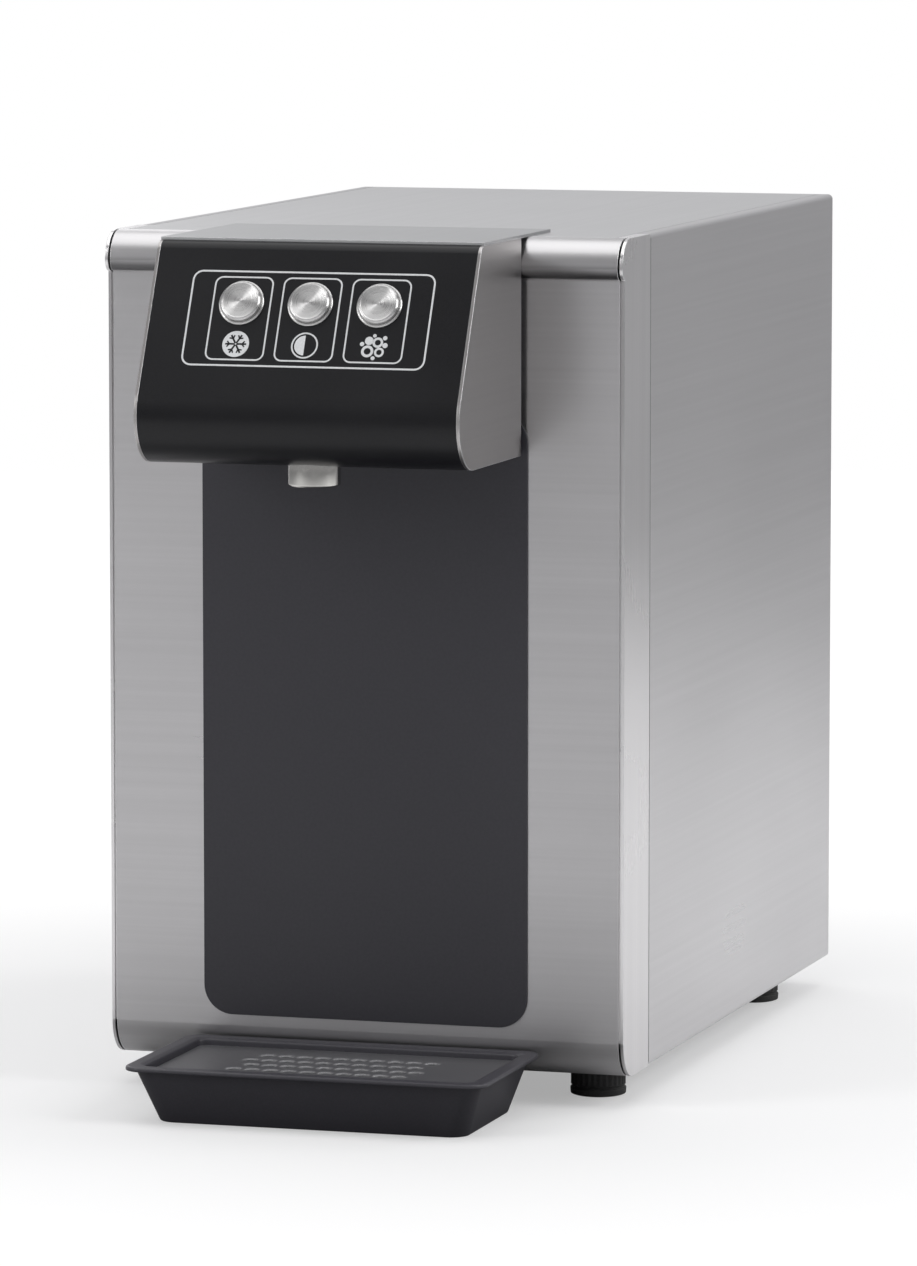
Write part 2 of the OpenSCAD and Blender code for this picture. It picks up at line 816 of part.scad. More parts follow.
function cond_pass_y(k) = cond_y + cond_d / 2 + (k < cond_rows ? -1 : 1) * cond_tube_gap / 2;
function cond_pass_z(k) = cond_z + cond_h / 2
    + ((k < cond_rows ? k : 2 * cond_rows - 1 - k) - (cond_rows - 1) / 2) * cond_row_pitch;

module condenser_tube() placed() color(copper) pipe([for (k = [0 : 2 * cond_rows - 1], e = [0, 1])
    [(k + e) % 2 == 0 ? cond_x_lo : cond_x_hi, cond_pass_y(k), cond_pass_z(k)]], cond_tube_r - run);

module condenser_fins() placed() color(bright) for (i = [0 : fin_count - 1]) difference() {
    x = cond_x + i * (cond_w - fin_t) / (fin_count - 1);
    box([x, cond_y, cond_z], [x + fin_t, cond_y + cond_d, cond_z + cond_h]);
    for (k = [0 : 2 * cond_rows - 1]) translate([x - eps, cond_pass_y(k), cond_pass_z(k)])
        rotate([0, 90, 0]) cylinder(h = fin_t + 2 * eps, r = cond_tube_r);
}

module fan_shroud() placed() color(black) difference() {
    union() {
        box([cond_x, shroud_y, cond_z], [cond_x + cond_w, cond_y, cond_z + cond_h]);
        for (x = [cond_x, cond_x + cond_w / 2])
            box([x, shroud_y, deck_z], [x + lap, cond_y, cond_z + lap]);
        rod_y(fan_x, fan_z, shroud_y - shroud_d, shroud_d, fan_r + shroud_gap + sheet_t);
    }
    rod_y(fan_x, fan_z, shroud_y - shroud_d - eps, shroud_d + shroud_t + 2 * eps,
        fan_r + shroud_gap);
}

module fan_rotor() placed() color(black) translate([fan_x, rotor_y, fan_z]) {
    rod_y(0, 0, -hub_r / 2, hub_r, hub_r);
    rod_y(0, 0, -hub_r / 2 - fan_motor_len + fan_motor_gap, fan_motor_len, shaft_r);
    for (i = [0 : blade_count - 1]) rotate([0, i * 360 / blade_count, 0])
        translate([hub_r - blade_root, 0, 0]) rotate([blade_pitch, 0, 0])
            translate([0, -blade_t / 2, -blade_w / 2])
                cube([fan_r - hub_r + blade_root, blade_t, blade_w]);
}

module fan_motor() placed() color(grey) difference() {
    y0 = rotor_y - hub_r / 2 - fan_motor_gap - fan_motor_len;
    union() {
        rod_y(fan_x, fan_z, y0, fan_motor_len, fan_motor_r);
        for (i = [0 : spoke_count - 1]) translate([fan_x, shroud_y - shroud_d - spoke_t, fan_z])
            rotate([0, spoke_turn + i * 360 / spoke_count, 0]) translate([0, 0, -spoke_w / 2])
                cube([fan_r + shroud_gap + sheet_t, spoke_t, spoke_w]);
    }
    rod_y(fan_x, fan_z, y0 + fan_motor_gap, fan_motor_len, shaft_r + run);
}

module tank_shelf() placed() color(grey) difference() {
    union() {
        box([-inner_w, bulkhead_y + sheet_t, shelf_z], [inner_w, rear_in - 14, shelf_z + shelf_t]);
        for (x = [-inner_w, inner_w - sheet_t])
            box([x, bulkhead_y + sheet_t, shelf_z - lap], [x + sheet_t, rear_in - 14, shelf_z]);
    }
    translate([cap_tube_x, drier_y, shelf_z - eps]) cylinder(h = 2 * shelf_t + eps, r = pipe_r);
}

module tank_insulation() placed() color(foam) difference() {
    translate([tank_x - block_w / 2, tank_y - block_w / 2, shelf_z + shelf_t])
        cube([block_w, block_w, block_h]);
    translate([tank_x, tank_y, tank_z]) cylinder(h = tank_h + eps, r = tank_r + run);
}

module cold_tank() placed() color(bright) translate([tank_x, tank_y, tank_z]) difference() {
    cylinder(h = tank_h, r = tank_r);
    translate([0, 0, tank_t]) cylinder(h = tank_h, r = tank_r - tank_t);
}

module tank_lid() placed() color(grey) difference() {
    translate([tank_x - block_w / 2, tank_y - block_w / 2, lid_z]) cube([block_w, block_w, lid_t]);
    for (p = [[tank_x + evap_r, tank_y, evap_tube], [tank_x, tank_y + return_r, evap_tube],
        [carb_x - carb_port, tank_y, tube_r], [carb_x + carb_port, tank_y, tube_r],
        [stir_x, tank_y, stir_r]])
        translate([p[0], p[1], lid_z - eps]) cylinder(h = lid_t + 2 * eps, r = p[2] + free);
}

module evaporator_coil() placed() color(copper) translate([tank_x, tank_y, 0]) {
    for (i = [0 : evap_turns - 1]) translate([0, 0, evap_z + i * evap_pitch])
        rotate_extrude() translate([evap_r, 0]) circle(r = evap_tube);
    translate([evap_r, 0, evap_z]) cylinder(h = riser_top - evap_z, r = evap_tube);
    translate([0, return_r, evap_z]) cylinder(h = riser_top - evap_z, r = evap_tube);
    rod_y(0, evap_z, return_r, evap_r - return_r, evap_tube);
}

module carbonator() placed() color(bright) translate([carb_x, tank_y, tank_z + tank_t]) {
    shell(carb_h, carb_r, carb_edge);
    for (x = [-carb_port, carb_port]) translate([x, 0, carb_h - eps])
        cylinder(h = riser_top - tank_z - tank_t - carb_h + eps, r = tube_r);
}

module agitator_motor() placed() color(grey) translate([stir_x, tank_y, lid_z + lid_t])
    difference() {
        cylinder(h = stir_motor_h, r = stir_motor_r);
        translate([0, 0, -eps]) cylinder(h = stir_socket, r = stir_r + run);
    }

module agitator() placed() color(bright) translate([stir_x, tank_y, stir_z]) {
    cylinder(h = lid_z + lid_t + stir_top - stir_z, r = stir_r);
    cylinder(h = stir_hub_h, r = 2 * stir_r);
    for (i = [0 : impeller_blades - 1]) rotate([0, 0, i * 360 / impeller_blades])
        rotate([blade_pitch, 0, 0]) translate([0, -blade_t / 2, 0])
            cube([impeller_r, blade_t, impeller_h]);
}

module filter_drier() placed() color(copper) translate([drier_x, drier_y, drier_z])
    rotate([0, 90, 0]) difference() {
        union() {
            shell(drier_len, drier_r, drier_edge);
            translate([0, 0, -stub_len]) cylinder(h = drier_len + 2 * stub_len, r = stub_r);
        }
        translate([0, 0, -stub_len - eps]) cylinder(h = stub_len + eps, r = pipe_r + run);
        translate([0, 0, drier_len]) cylinder(h = stub_len + eps, r = cap_tube_r + run);
    }

module refrigerant_pipes() placed() color(copper) {
    last = 2 * cond_rows - 1;
    hot_x = comp_x + compressor_r + stub_len + hot_gap;
    low_z = cond_pass_z(0) - 2 * hot_gap;
    back_y = rear_in - return_gap;
    pipe([[comp_x + compressor_r + eps, discharge_y, discharge_z], [hot_x, discharge_y, discharge_z],
        [hot_x, cond_pass_y(0), discharge_z], [hot_x, cond_pass_y(0), cond_pass_z(0)],
        [cond_x_lo, cond_pass_y(0), cond_pass_z(0)]], pipe_r);
    pipe([[cond_x_lo, cond_pass_y(last), cond_pass_z(last)],
        [hot_x, cond_pass_y(last), cond_pass_z(last)], [hot_x, cond_pass_y(last), low_z],
        [hot_x, drier_y, low_z], [hot_x, drier_y, drier_z],
        [drier_x - eps, drier_y, drier_z]], pipe_r);
    pipe([[drier_x + drier_len + eps, drier_y, drier_z], [cap_tube_x, drier_y, drier_z],
        [cap_tube_x, drier_y, riser_top + cap_rise], [cap_tube_x, tank_y, riser_top + cap_rise],
        [tank_x + evap_r, tank_y, riser_top + cap_rise], [tank_x + evap_r, tank_y, riser_top]], cap_tube_r);
    pipe([[tank_x, tank_y + return_r, riser_top], [tank_x, tank_y + return_r, riser_top + return_gap],
        [tank_x, back_y, riser_top + return_gap], [tank_x, back_y, suction_z], [comp_x, back_y, suction_z],
        [comp_x, comp_y + compressor_r + eps, suction_z]], suction_r);
}

// ---------- water side and electrics ----------

module bulkhead() placed() color(grey) difference() {
    union() {
        box([-bulkhead_w / 2, bulkhead_y, deck_z],
            [bulkhead_w / 2, bulkhead_y + sheet_t, base_z + bulkhead_h]);
        box([-bulkhead_w / 2, bulkhead_y - lap, deck_z], [bulkhead_w / 2, bulkhead_y, deck_z + sheet_t]);
        box([valve_x - 1.5 * valve_pitch, valve_y - valve_block_d / 2, valve_block_z - sheet_t],
            [valve_x + 1.5 * valve_pitch, bulkhead_y, valve_block_z]);
    }
    box([-valve_pitch * 2, bulkhead_y - eps, valve_block_z],
        [water_x + window_side, bulkhead_y + sheet_t + eps, valve_block_z + window_h]);
    box([min(link_x, carb_x + carb_port) - tube_r - line_room, bulkhead_y - eps,
        tank_line_z - tube_r - line_room],
        [max(link_x, carb_x + carb_port) + tube_r + line_room, bulkhead_y + sheet_t + eps,
        tank_line_z + tank_line_gap + tube_r + line_room]);
}

module control_board() placed() color(board_green) {
    y0 = bulkhead_y - standoff - board_t;
    box([board_x, y0, board_z], [board_x + board_w, y0 + board_t, board_z + board_h]);
    for (x = [board_x + board_edge, board_x + board_w - board_edge],
        z = [board_z + board_edge, board_z + board_h - board_edge])
        rod_y(x, z, y0 + board_t - weld, standoff + weld, standoff_r);
    for (i = [0 : relays - 1]) translate([board_x + relay_at[0] + i * relay_pitch, y0 - relay[1],
        board_z + relay_at[1]]) cube([relay[0], relay[1] + weld, relay[2]]);
    translate([board_x + chip_at[0], y0 - chip[1], board_z + chip_at[1]])
        cube([chip[0], chip[1] + weld, chip[2]]);
    rod_y(board_x + can_at[0], board_z + can_at[1], y0 - can_h, can_h + weld, can_r);
}

module power_supply() placed() color(bright) difference() {
    box([psu_x, bulkhead_y - lap - slack - psu_d, deck_z],
        [psu_x + psu_w, bulkhead_y - lap - slack, deck_z + psu_h]);
    for (i = [0 : slots - 1])
        box([psu_x + slot_x + i * slot_pitch, bulkhead_y - psu_d + slot_in, deck_z + psu_h - slot_depth],
            [psu_x + slot_x + slot_w + i * slot_pitch, bulkhead_y - slot_end, deck_z + psu_h + eps]);
}

module water_pump() placed() color(brass) difference() {
    rod_y(pump_x, pump_z, pump_front, pump_len, pump_r);
    rod_y(pump_x, pump_z, pump_front - eps, pump_port + eps, tube_r + run);
    translate([pump_x, valve_y, pump_z + pump_r - pump_port]) cylinder(h = port_depth, r = tube_r + run);
}

module pump_motor() placed() color(enamel) {
    rod_y(pump_x, pump_z, pump_front + pump_len, motor_len, motor_r);
    box([pump_x - motor_foot_w / 2, pump_front + pump_len + motor_foot_in, deck_z],
        [pump_x + motor_foot_w / 2, pump_front + pump_len + motor_len - motor_foot_in,
        pump_z - motor_r + motor_foot_h]);
}

module filter_cartridge() placed() color(white) difference() {
    union() {
        translate([filter_x, filter_y, filter_z]) shell(filter_h, filter_r, filter_edge);
        translate([filter_x, filter_y, filter_z + filter_h - filter_neck])
            cylinder(h = filter_head + filter_neck, r = filter_r - filter_neck);
        box([filter_x - filter_lug_w / 2, filter_y, filter_z + filter_h + filter_lug],
            [filter_x + filter_lug_w / 2, bulkhead_y, filter_z + filter_h + filter_head - filter_lug]);
    }
    for (x = [-filter_port, filter_port])
        translate([filter_x + x, filter_y, filter_z + filter_h + filter_head - port_push])
            cylinder(h = port_push + eps, r = tube_r + run);
}

module valve_block() placed() color(brass) difference() {
    box([valve_x - valve_pitch * 1.5, valve_y - valve_block_d / 2, valve_block_z],
        [valve_x + valve_pitch * 1.5, valve_y + valve_block_d / 2, valve_block_z + valve_block_h]);
    rod_y(0, outlet_z, valve_y - valve_block_d / 2 - eps, port_depth + eps, outlet_r + run);
    rod_y(valve_x - valve_pitch, outlet_z, valve_y + valve_block_d / 2 - port_depth, port_depth + eps,
        tube_r + run);
}

module dispense_valves() placed() color(black) for (i = [-1 : 1])
    translate([valve_x + i * valve_pitch, valve_y, valve_block_z + valve_block_h]) {
        translate([-coil_w / 2, -coil_w / 2, 0]) cube([coil_w, coil_w, coil_h]);
        cylinder(h = coil_h + core_h, r = core_r);
    }

module water_tubes() placed() color(clear) {
    nozzle_top = nozzle_base + nozzle_len + nozzle_stem;
    filter_top = filter_z + filter_h + filter_head;
    back_z = tank_line_z + tank_line_gap;
    in_y = bulkhead_y - window_h;
    feed_y = pump_front - tube_turn;
    cold_y = valve_y + window_h;
    pipe([[0, valve_y - valve_block_d / 2 + port_push, outlet_z], [0, -nozzle_out, outlet_z],
        [0, -nozzle_out, nozzle_top - tube_seat]], outlet_r);
    pipe([[water_x, body_d - fitting_in + port_end, inlet_z], [water_x, in_y, inlet_z],
        [filter_x + filter_port, in_y, inlet_z], [filter_x + filter_port, filter_y, inlet_z],
        [filter_x + filter_port, filter_y, filter_top - port_end]], tube_r);
    pipe([[filter_x - filter_port, filter_y, filter_top - port_end],
        [filter_x - filter_port, filter_y, filter_top + tube_seat],
        [filter_x - filter_port, valve_y, filter_top + tube_seat],
        [pump_x, valve_y, filter_top + tube_seat],
        [pump_x, valve_y, pump_z + pump_r - port_end]], tube_r);
    pipe([[pump_x, pump_front + port_end, pump_z], [pump_x, feed_y, pump_z], [link_x, feed_y, pump_z],
        [link_x, feed_y, tank_line_z], [link_x, tank_y, tank_line_z],
        [carb_x - carb_port, tank_y, tank_line_z], [carb_x - carb_port, tank_y, riser_top]], tube_r);
    pipe([[carb_x + carb_port, tank_y, riser_top], [carb_x + carb_port, tank_y, back_z],
        [carb_x + carb_port, cold_y, back_z], [carb_x + carb_port, cold_y, outlet_z],
        [valve_x - valve_pitch, cold_y, outlet_z],
        [valve_x - valve_pitch, valve_y + valve_block_d / 2 - port_push, outlet_z]], tube_r);
}

module inlet_fittings() placed() color(black) for (x = [water_x, water_x - inlet_pitch])
    difference() {
        union() {
            rod_y(x, inlet_z, body_d, fitting_nut_h, fitting_nut_r);
            rod_y(x, inlet_z, body_d - fitting_in, fitting_in + inlet_reach, fitting_r);
        }
        rod_y(x, inlet_z, body_d + inlet_reach - tube_depth, tube_depth + eps, tube_r);
        rod_y(x, inlet_z, body_d - fitting_in - eps, pump_port + eps, tube_r + run);
    }

module power_inlet() placed() color(black) difference() {
    union() {
        box([power_x - socket_w / 2, body_d - socket_depth, power_z - socket_h / 2],
            [power_x + socket_w / 2, body_d + eps, power_z + socket_h / 2]);
        box([power_x - socket_w / 2 - socket_rim, body_d, power_z - socket_h / 2 - socket_rim],
            [power_x + socket_w / 2 + socket_rim, body_d + socket_flange,
            power_z + socket_h / 2 + socket_rim]);
    }
    box([power_x - plug_w / 2, body_d + socket_flange - plug_depth, plug_z - plug_h / 2],
        [power_x + plug_w / 2, body_d + socket_flange + eps, plug_z + plug_h / 2]);
    along_x(power_x - rocker_w / 2 - free, rocker_w + 2 * free) {
        translate([rocker_y, rocker_z]) circle(r = rocker_r + free);
        translate([rocker_y, rocker_z - rocker_r - free])
            square([rocker_r * 2, 2 * rocker_r + 2 * free]);
    }
    translate([power_x - socket_w / 2 + axle_in, rocker_y, rocker_z]) rotate([0, 90, 0])
        cylinder(h = socket_w - 2 * axle_in, r = rocker_axle + run);
}

module inlet_pins() placed() color(bright) for (p = pins)
    translate([power_x + p[0] - pin_w / 2, body_d + socket_flange - plug_depth, plug_z + p[1] - pin_h / 2])
        cube([pin_w, pin_len, pin_h]);

// The rocker is drawn in its off position, tilted about its axle
module power_rocker() placed() color(red)
    translate([0, rocker_y, rocker_z]) rotate([rocker_tilt, 0, 0]) {
        along_x(power_x - rocker_w / 2, rocker_w) intersection() {
            circle(r = rocker_r);
            polygon([[-rocker_r, -rocker_r], [rocker_r, -rocker_r], [rocker_r - rocker_dish, 0],
                [rocker_r, rocker_r], [-rocker_r, rocker_r]]);
        }
        translate([power_x - socket_w / 2 + axle_in + free, 0, 0]) rotate([0, 90, 0])
            cylinder(h = socket_w - 2 * (axle_in + free), r = rocker_axle);
    }

base_plate();
front_fascia();
left_cheek();
right_cheek();
left_side_panel();
right_side_panel();
top_cover();
rear_panel();
rear_screws();
splash_panel();
head_left_side();
head_right_side();
head_front_cover();
head_top_plate();
head_frame();
nozzle_holder();
nozzle();
water_tubes();
button_housings();
cold_button();
ambient_button();
sparkling_button();
cold_button_spring();
ambient_button_spring();
sparkling_button_spring();
drip_tray();
tray_grille();
front_left_foot();
front_right_foot();
rear_left_foot();
rear_right_foot();
compressor();
compressor_grommets();
condenser_fins();
condenser_tube();
fan_shroud();
fan_rotor();
fan_motor();
tank_shelf();
tank_insulation();
cold_tank();
tank_lid();
evaporator_coil();
carbonator();
agitator_motor();
agitator();
bulkhead();
control_board();
power_supply();
water_pump();
pump_motor();
filter_cartridge();
valve_block();
dispense_valves();
inlet_fittings();
power_inlet();
inlet_pins();
power_rocker();
filter_drier();
refrigerant_pipes();
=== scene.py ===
# %% [markdown]
# # A countertop water dispenser in brushed steel
# The exact sheet-metal parts are loaded first. The lesson then adds the camera and the studio,
# a brushed-steel finish for the big sheets, and smooth new surfaces for the parts that carry
# fine turning, knurling or moulding: the buttons, the spout, the tray, the grille and the feet.

# %% Load the finished parts
import json
import math
import bmesh
import bpy
import numpy as np
from mathutils import Matrix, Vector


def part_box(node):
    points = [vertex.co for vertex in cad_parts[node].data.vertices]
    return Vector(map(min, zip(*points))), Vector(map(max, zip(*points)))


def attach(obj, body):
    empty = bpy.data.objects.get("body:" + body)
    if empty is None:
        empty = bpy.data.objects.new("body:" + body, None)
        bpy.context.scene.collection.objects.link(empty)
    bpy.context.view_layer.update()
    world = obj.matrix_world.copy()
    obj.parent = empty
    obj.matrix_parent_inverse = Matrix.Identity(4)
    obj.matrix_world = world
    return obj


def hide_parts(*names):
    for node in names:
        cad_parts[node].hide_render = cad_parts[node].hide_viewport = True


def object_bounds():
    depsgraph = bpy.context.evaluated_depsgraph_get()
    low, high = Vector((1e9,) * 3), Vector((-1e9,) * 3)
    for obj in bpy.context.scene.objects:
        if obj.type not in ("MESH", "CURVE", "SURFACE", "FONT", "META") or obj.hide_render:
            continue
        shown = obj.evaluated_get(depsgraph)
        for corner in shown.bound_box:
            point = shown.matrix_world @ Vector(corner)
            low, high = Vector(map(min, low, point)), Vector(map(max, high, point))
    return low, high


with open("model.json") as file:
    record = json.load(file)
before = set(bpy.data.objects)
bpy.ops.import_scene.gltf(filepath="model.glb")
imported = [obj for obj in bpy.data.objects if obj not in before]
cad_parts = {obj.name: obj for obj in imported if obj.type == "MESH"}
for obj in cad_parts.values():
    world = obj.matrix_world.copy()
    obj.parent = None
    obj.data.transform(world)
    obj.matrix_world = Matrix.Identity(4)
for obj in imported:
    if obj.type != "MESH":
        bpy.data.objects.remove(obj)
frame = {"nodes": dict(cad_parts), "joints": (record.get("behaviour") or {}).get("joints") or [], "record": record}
cad_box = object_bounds()
nodes = frame["nodes"]
MM = 0.001
print("parts:", len(nodes), " box in mm:", [[round(v / MM) for v in corner] for corner in cad_box])

# %% [markdown]
# ## Camera
# A product camera stands far away with a long lens, so upright edges stay nearly parallel.
# Here it is a little to the right of the front and slightly above it, and it looks at the
# middle of the dispenser. A matrix that points -Z at the target and keeps Y up does the aiming.

# %% Camera
middle = np.mean(cad_box, axis=0)
azimuth, elevation, distance = math.radians(16.86), math.radians(6.49), 3.78
direction = np.array([math.sin(azimuth) * math.cos(elevation),
                      -math.cos(azimuth) * math.cos(elevation), math.sin(elevation)])
camera = bpy.data.objects.new("camera", bpy.data.cameras.new("camera"))
bpy.context.scene.collection.objects.link(camera)
right = np.cross([0.0, 0.0, 1.0], direction)
right /= np.linalg.norm(right)
up = np.cross(direction, right)
placing = np.eye(4)
placing[:3, 0], placing[:3, 1], placing[:3, 2] = right, up, direction
placing[:3, 3] = middle + distance * direction
camera.matrix_world = Matrix(placing.tolist())
camera.data.lens = 214
camera.data.sensor_width = 36
camera.data.sensor_fit = "AUTO"
bpy.context.scene.camera = camera
bpy.context.scene.view_settings.view_transform = "Standard"
print("camera at", np.round(placing[:3, 3], 3))

# %% [markdown]
# ## Studio
# Polished and brushed steel shows its surroundings more than itself. So the studio is planned
# as a set of reflections: a pale floor whose colour is painted darker with distance, a painted
# fall-off of light, a wide overhead softbox for the bead and the top edges, and four weaker
# softboxes round the sides. Two things differ between what the camera sees and what the steel
# sees. To the camera the world is white and the floor melts into it. To everything else the world
# is a quiet grey gradient with a soft glow behind on the left, and the floor carries a dark oval
# in front of the machine, as a card laid there would.

# %% Node helpers
def new_node(tree, kind, **settings):
    """Adds one shader node and sets its plain settings."""
    made = tree.nodes.new(kind)
    for key, value in settings.items():
        setattr(made, key, value)
    return made


def feed(tree, socket, source):
    """Links a socket, or writes a constant straight into it."""
    if isinstance(source, bpy.types.NodeSocket):
        tree.links.new(source, socket)
    elif isinstance(source, (tuple, list)) and len(source) == 3 and socket.type == "RGBA":
        socket.default_value = (*source, 1.0)
    else:
        socket.default_value = source


def ramp(tree, value, low, high, start=0.0, end=1.0, smooth=False):
    """Carries a value from the range low..high to start..end, and holds it outside."""
    made = new_node(tree, "ShaderNodeMapRange")
    made.interpolation_type = "SMOOTHSTEP" if smooth else "LINEAR"
    for number, given in enumerate((value, low, high, start, end)):
        feed(tree, made.inputs[number], given)
    return made.outputs[0]


def mix_colour(tree, share, first, second, blend="MIX"):
    """Mixes two colours by a share from 0 to 1."""
    made = new_node(tree, "ShaderNodeMix", data_type="RGBA", blend_type=blend)
    feed(tree, made.inputs["Factor"], share)
    feed(tree, made.inputs[6], first)
    feed(tree, made.inputs[7], second)
    return made.outputs[2]


def arithmetic(tree, operation, first, second=0.0):
    """One sum, product or other operation on two values."""
    made = new_node(tree, "ShaderNodeMath", operation=operation)
    feed(tree, made.inputs[0], first)
    feed(tree, made.inputs[1], second)
    return made.outputs[0]

# %% Stage and lights
def grid_faces(rows, columns):
    """Indices of the faces of a rows x columns grid: each face joins four neighbours."""
    index = np.arange(rows * columns).reshape(rows, columns)
    corners = index[:-1, :-1], index[:-1, 1:], index[1:, 1:], index[1:, :-1]
    return np.stack(corners, -1).reshape(-1, 4)


ring, turn = np.meshgrid(np.linspace(0, 1, 24), np.linspace(0, 2 * np.pi, 97), indexing="ij")
reach = 3.2 * ring
spots = np.stack([reach * np.cos(turn), reach * np.sin(turn), 0 * turn], -1).reshape(-1, 3)
floor_mesh = bpy.data.meshes.new("floor")
floor_mesh.from_pydata(spots.tolist(), [], grid_faces(24, 97).tolist())
floor = bpy.data.objects.new("floor", floor_mesh)
bpy.context.scene.collection.objects.link(floor)

paper = bpy.data.materials.new("studio_paper")
paper.use_nodes = True
tree = paper.node_tree
where = new_node(tree, "ShaderNodeTexCoord").outputs["Object"]
length = new_node(tree, "ShaderNodeVectorMath", operation="LENGTH")
feed(tree, length.inputs[0], where)
# Painted fall-off: the floor's colour darkens between 1.2 m and 3.1 m out, a painted fall-off of light.
painted_falloff = ramp(tree, length.outputs["Value"], 1.2, 3.1, 0.0, 1.0, smooth=True)
paper_shader = tree.nodes["Principled BSDF"]
sight = new_node(tree, "ShaderNodeLightPath")
card = new_node(tree, "ShaderNodeMapping")
feed(tree, card.inputs["Vector"], where)
card.inputs["Location"].default_value = (0.0, 0.32, 0.0)
card.inputs["Scale"].default_value = (0.8, 1.25, 1.0)
from_card = new_node(tree, "ShaderNodeVectorMath", operation="LENGTH")
feed(tree, from_card.inputs[0], card.outputs[0])
card_shade = ramp(tree, from_card.outputs["Value"], 0.08, 0.27, 0.85, 0.0, smooth=True)
unlit = arithmetic(tree, "MULTIPLY", card_shade,
                   arithmetic(tree, "SUBTRACT", 1.0, sight.outputs["Is Camera Ray"]))
pale = mix_colour(tree, painted_falloff, (0.88, 0.88, 0.885), (0.38, 0.38, 0.385))
feed(tree, paper_shader.inputs["Base Color"], mix_colour(tree, unlit, pale, (0.05, 0.05, 0.05)))
paper_shader.inputs["Roughness"].default_value = 0.9
paper_shader.inputs["Specular IOR Level"].default_value = 0.15
white = new_node(tree, "ShaderNodeEmission")
white.inputs["Color"].default_value = (1, 1, 1, 1)
white.inputs["Strength"].default_value = 1.05
melt = new_node(tree, "ShaderNodeMixShader")
whiteness = ramp(tree, length.outputs["Value"], 0.25, 0.75, 0.35, 1.0, smooth=True)
feed(tree, melt.inputs[0],
     arithmetic(tree, "MULTIPLY", sight.outputs["Is Camera Ray"], whiteness))
tree.links.new(paper_shader.outputs[0], melt.inputs[1])
tree.links.new(white.outputs[0], melt.inputs[2])
tree.links.new(melt.outputs[0], tree.nodes["Material Output"].inputs["Surface"])
floor_mesh.materials.append(paper)


def softbox(name, place, aim, width, height, power, colour=(1, 1, 1)):
    """A rectangular area light at place that faces aim."""
    light = bpy.data.lights.new(name, "AREA")
    light.shape, light.size, light.size_y = "RECTANGLE", width, height
    light.energy, light.color = power, colour
    lamp = bpy.data.objects.new(name, light)
    bpy.context.scene.collection.objects.link(lamp)
    back = np.array(place, float) - np.array(aim, float)
    back /= np.linalg.norm(back)
    side = np.cross([0.0, 0.0, 1.0], back) if abs(back[2]) < 0.99 else np.array([1.0, 0.0, 0.0])
    side /= np.linalg.norm(side)
    pose = np.eye(4)
    pose[:3, 0], pose[:3, 1], pose[:3, 2], pose[:3, 3] = side, np.cross(back, side), back, place
    lamp.matrix_world = Matrix(pose.tolist())
    return lamp


softbox("overhead", (-0.1, -0.1, 2.1), (-0.05, -0.05, 0), 2.9, 2.4, 29)
softbox("front_left", (-1.9, -1.9, 1.4), (-0.5, -0.9, 0.0), 1.0, 1.4, 20)
softbox("right", (2.2, -0.4, 1.5), (0.2, 0.3, 0.0), 1.0, 1.4, 21)
softbox("back_left", (-1.7, 2.1, 1.6), (0, 0, 0.2), 1.8, 1.5, 8)
softbox("back_right", (2.3, 1.7, 1.4), (0.7, 1.6, 0.0), 1.0, 1.2, 16)

# %% World
world = bpy.data.worlds.new("studio_air")
bpy.context.scene.world = world
world.use_nodes = True
tree = world.node_tree
tree.nodes.clear()
looking = new_node(tree, "ShaderNodeTexCoord").outputs["Generated"]
split = new_node(tree, "ShaderNodeSeparateXYZ")
feed(tree, split.inputs[0], looking)
low_band = ramp(tree, split.outputs["Z"], -0.25, 0.0, 0.30, 0.35, smooth=True)
high_band = ramp(tree, split.outputs["Z"], 0.2, 0.8, 0.0, -0.08, smooth=True)
grey = new_node(tree, "ShaderNodeCombineColor")
toward = new_node(tree, "ShaderNodeVectorMath", operation="DOT_PRODUCT")
feed(tree, toward.inputs[0], looking)
toward.inputs[1].default_value = (-0.36, 0.90, 0.24)
glow = ramp(tree, toward.outputs["Value"], 0.70, 0.98, 0.0, 0.30, smooth=True)
strength = arithmetic(tree, "ADD", arithmetic(tree, "ADD", low_band, high_band), glow)
feed(tree, grey.inputs[0], strength)
feed(tree, grey.inputs[1], strength)
feed(tree, grey.inputs[2], arithmetic(tree, "MULTIPLY", strength, 1.02))
seen = new_node(tree, "ShaderNodeLightPath")
background = new_node(tree, "ShaderNodeBackground")
feed(tree, background.inputs["Color"],
     mix_colour(tree, seen.outputs["Is Camera Ray"], grey.outputs[0], (1.0, 1.0, 1.0)))
world_end = new_node(tree, "ShaderNodeOutputWorld")
tree.links.new(background.outputs[0], world_end.inputs[0])

# %% [markdown]
# ## Finishes
# Every finish starts from the same helper: a material with its constant numbers written into
# the shader. Patterns are noise on Object coordinates, so they are measured in metres and need
# no unwrapping. Stretching the noise in one direction turns it into brushing.

# %% Finish helpers
def new_finish(name, colour, **constants):
    """A material whose shader has these constant values. Returns (material, tree, shader)."""
    made = bpy.data.materials.new(name)
    made.use_nodes = True
    shader = made.node_tree.nodes["Principled BSDF"]
    shader.inputs["Base Color"].default_value = (*colour, 1.0)
    for socket, value in constants.items():
        shader.inputs[socket.replace("_", " ")].default_value = value
    return made, made.node_tree, shader


def noise(tree, per_metre, detail=2.0, coordinates=None):
    """Noise that repeats about per_metre = (x, y, z) times a metre, from 0 to 1."""
    if coordinates is None:
        coordinates = new_node(tree, "ShaderNodeTexCoord").outputs["Object"]
    mapping = new_node(tree, "ShaderNodeMapping")
    feed(tree, mapping.inputs["Vector"], coordinates)
    mapping.inputs["Scale"].default_value = per_metre
    grain = new_node(tree, "ShaderNodeTexNoise")
    grain.inputs["Scale"].default_value = 1.0
    grain.inputs["Detail"].default_value = detail
    feed(tree, grain.inputs["Vector"], mapping.outputs[0])
    return grain.outputs["Fac"]
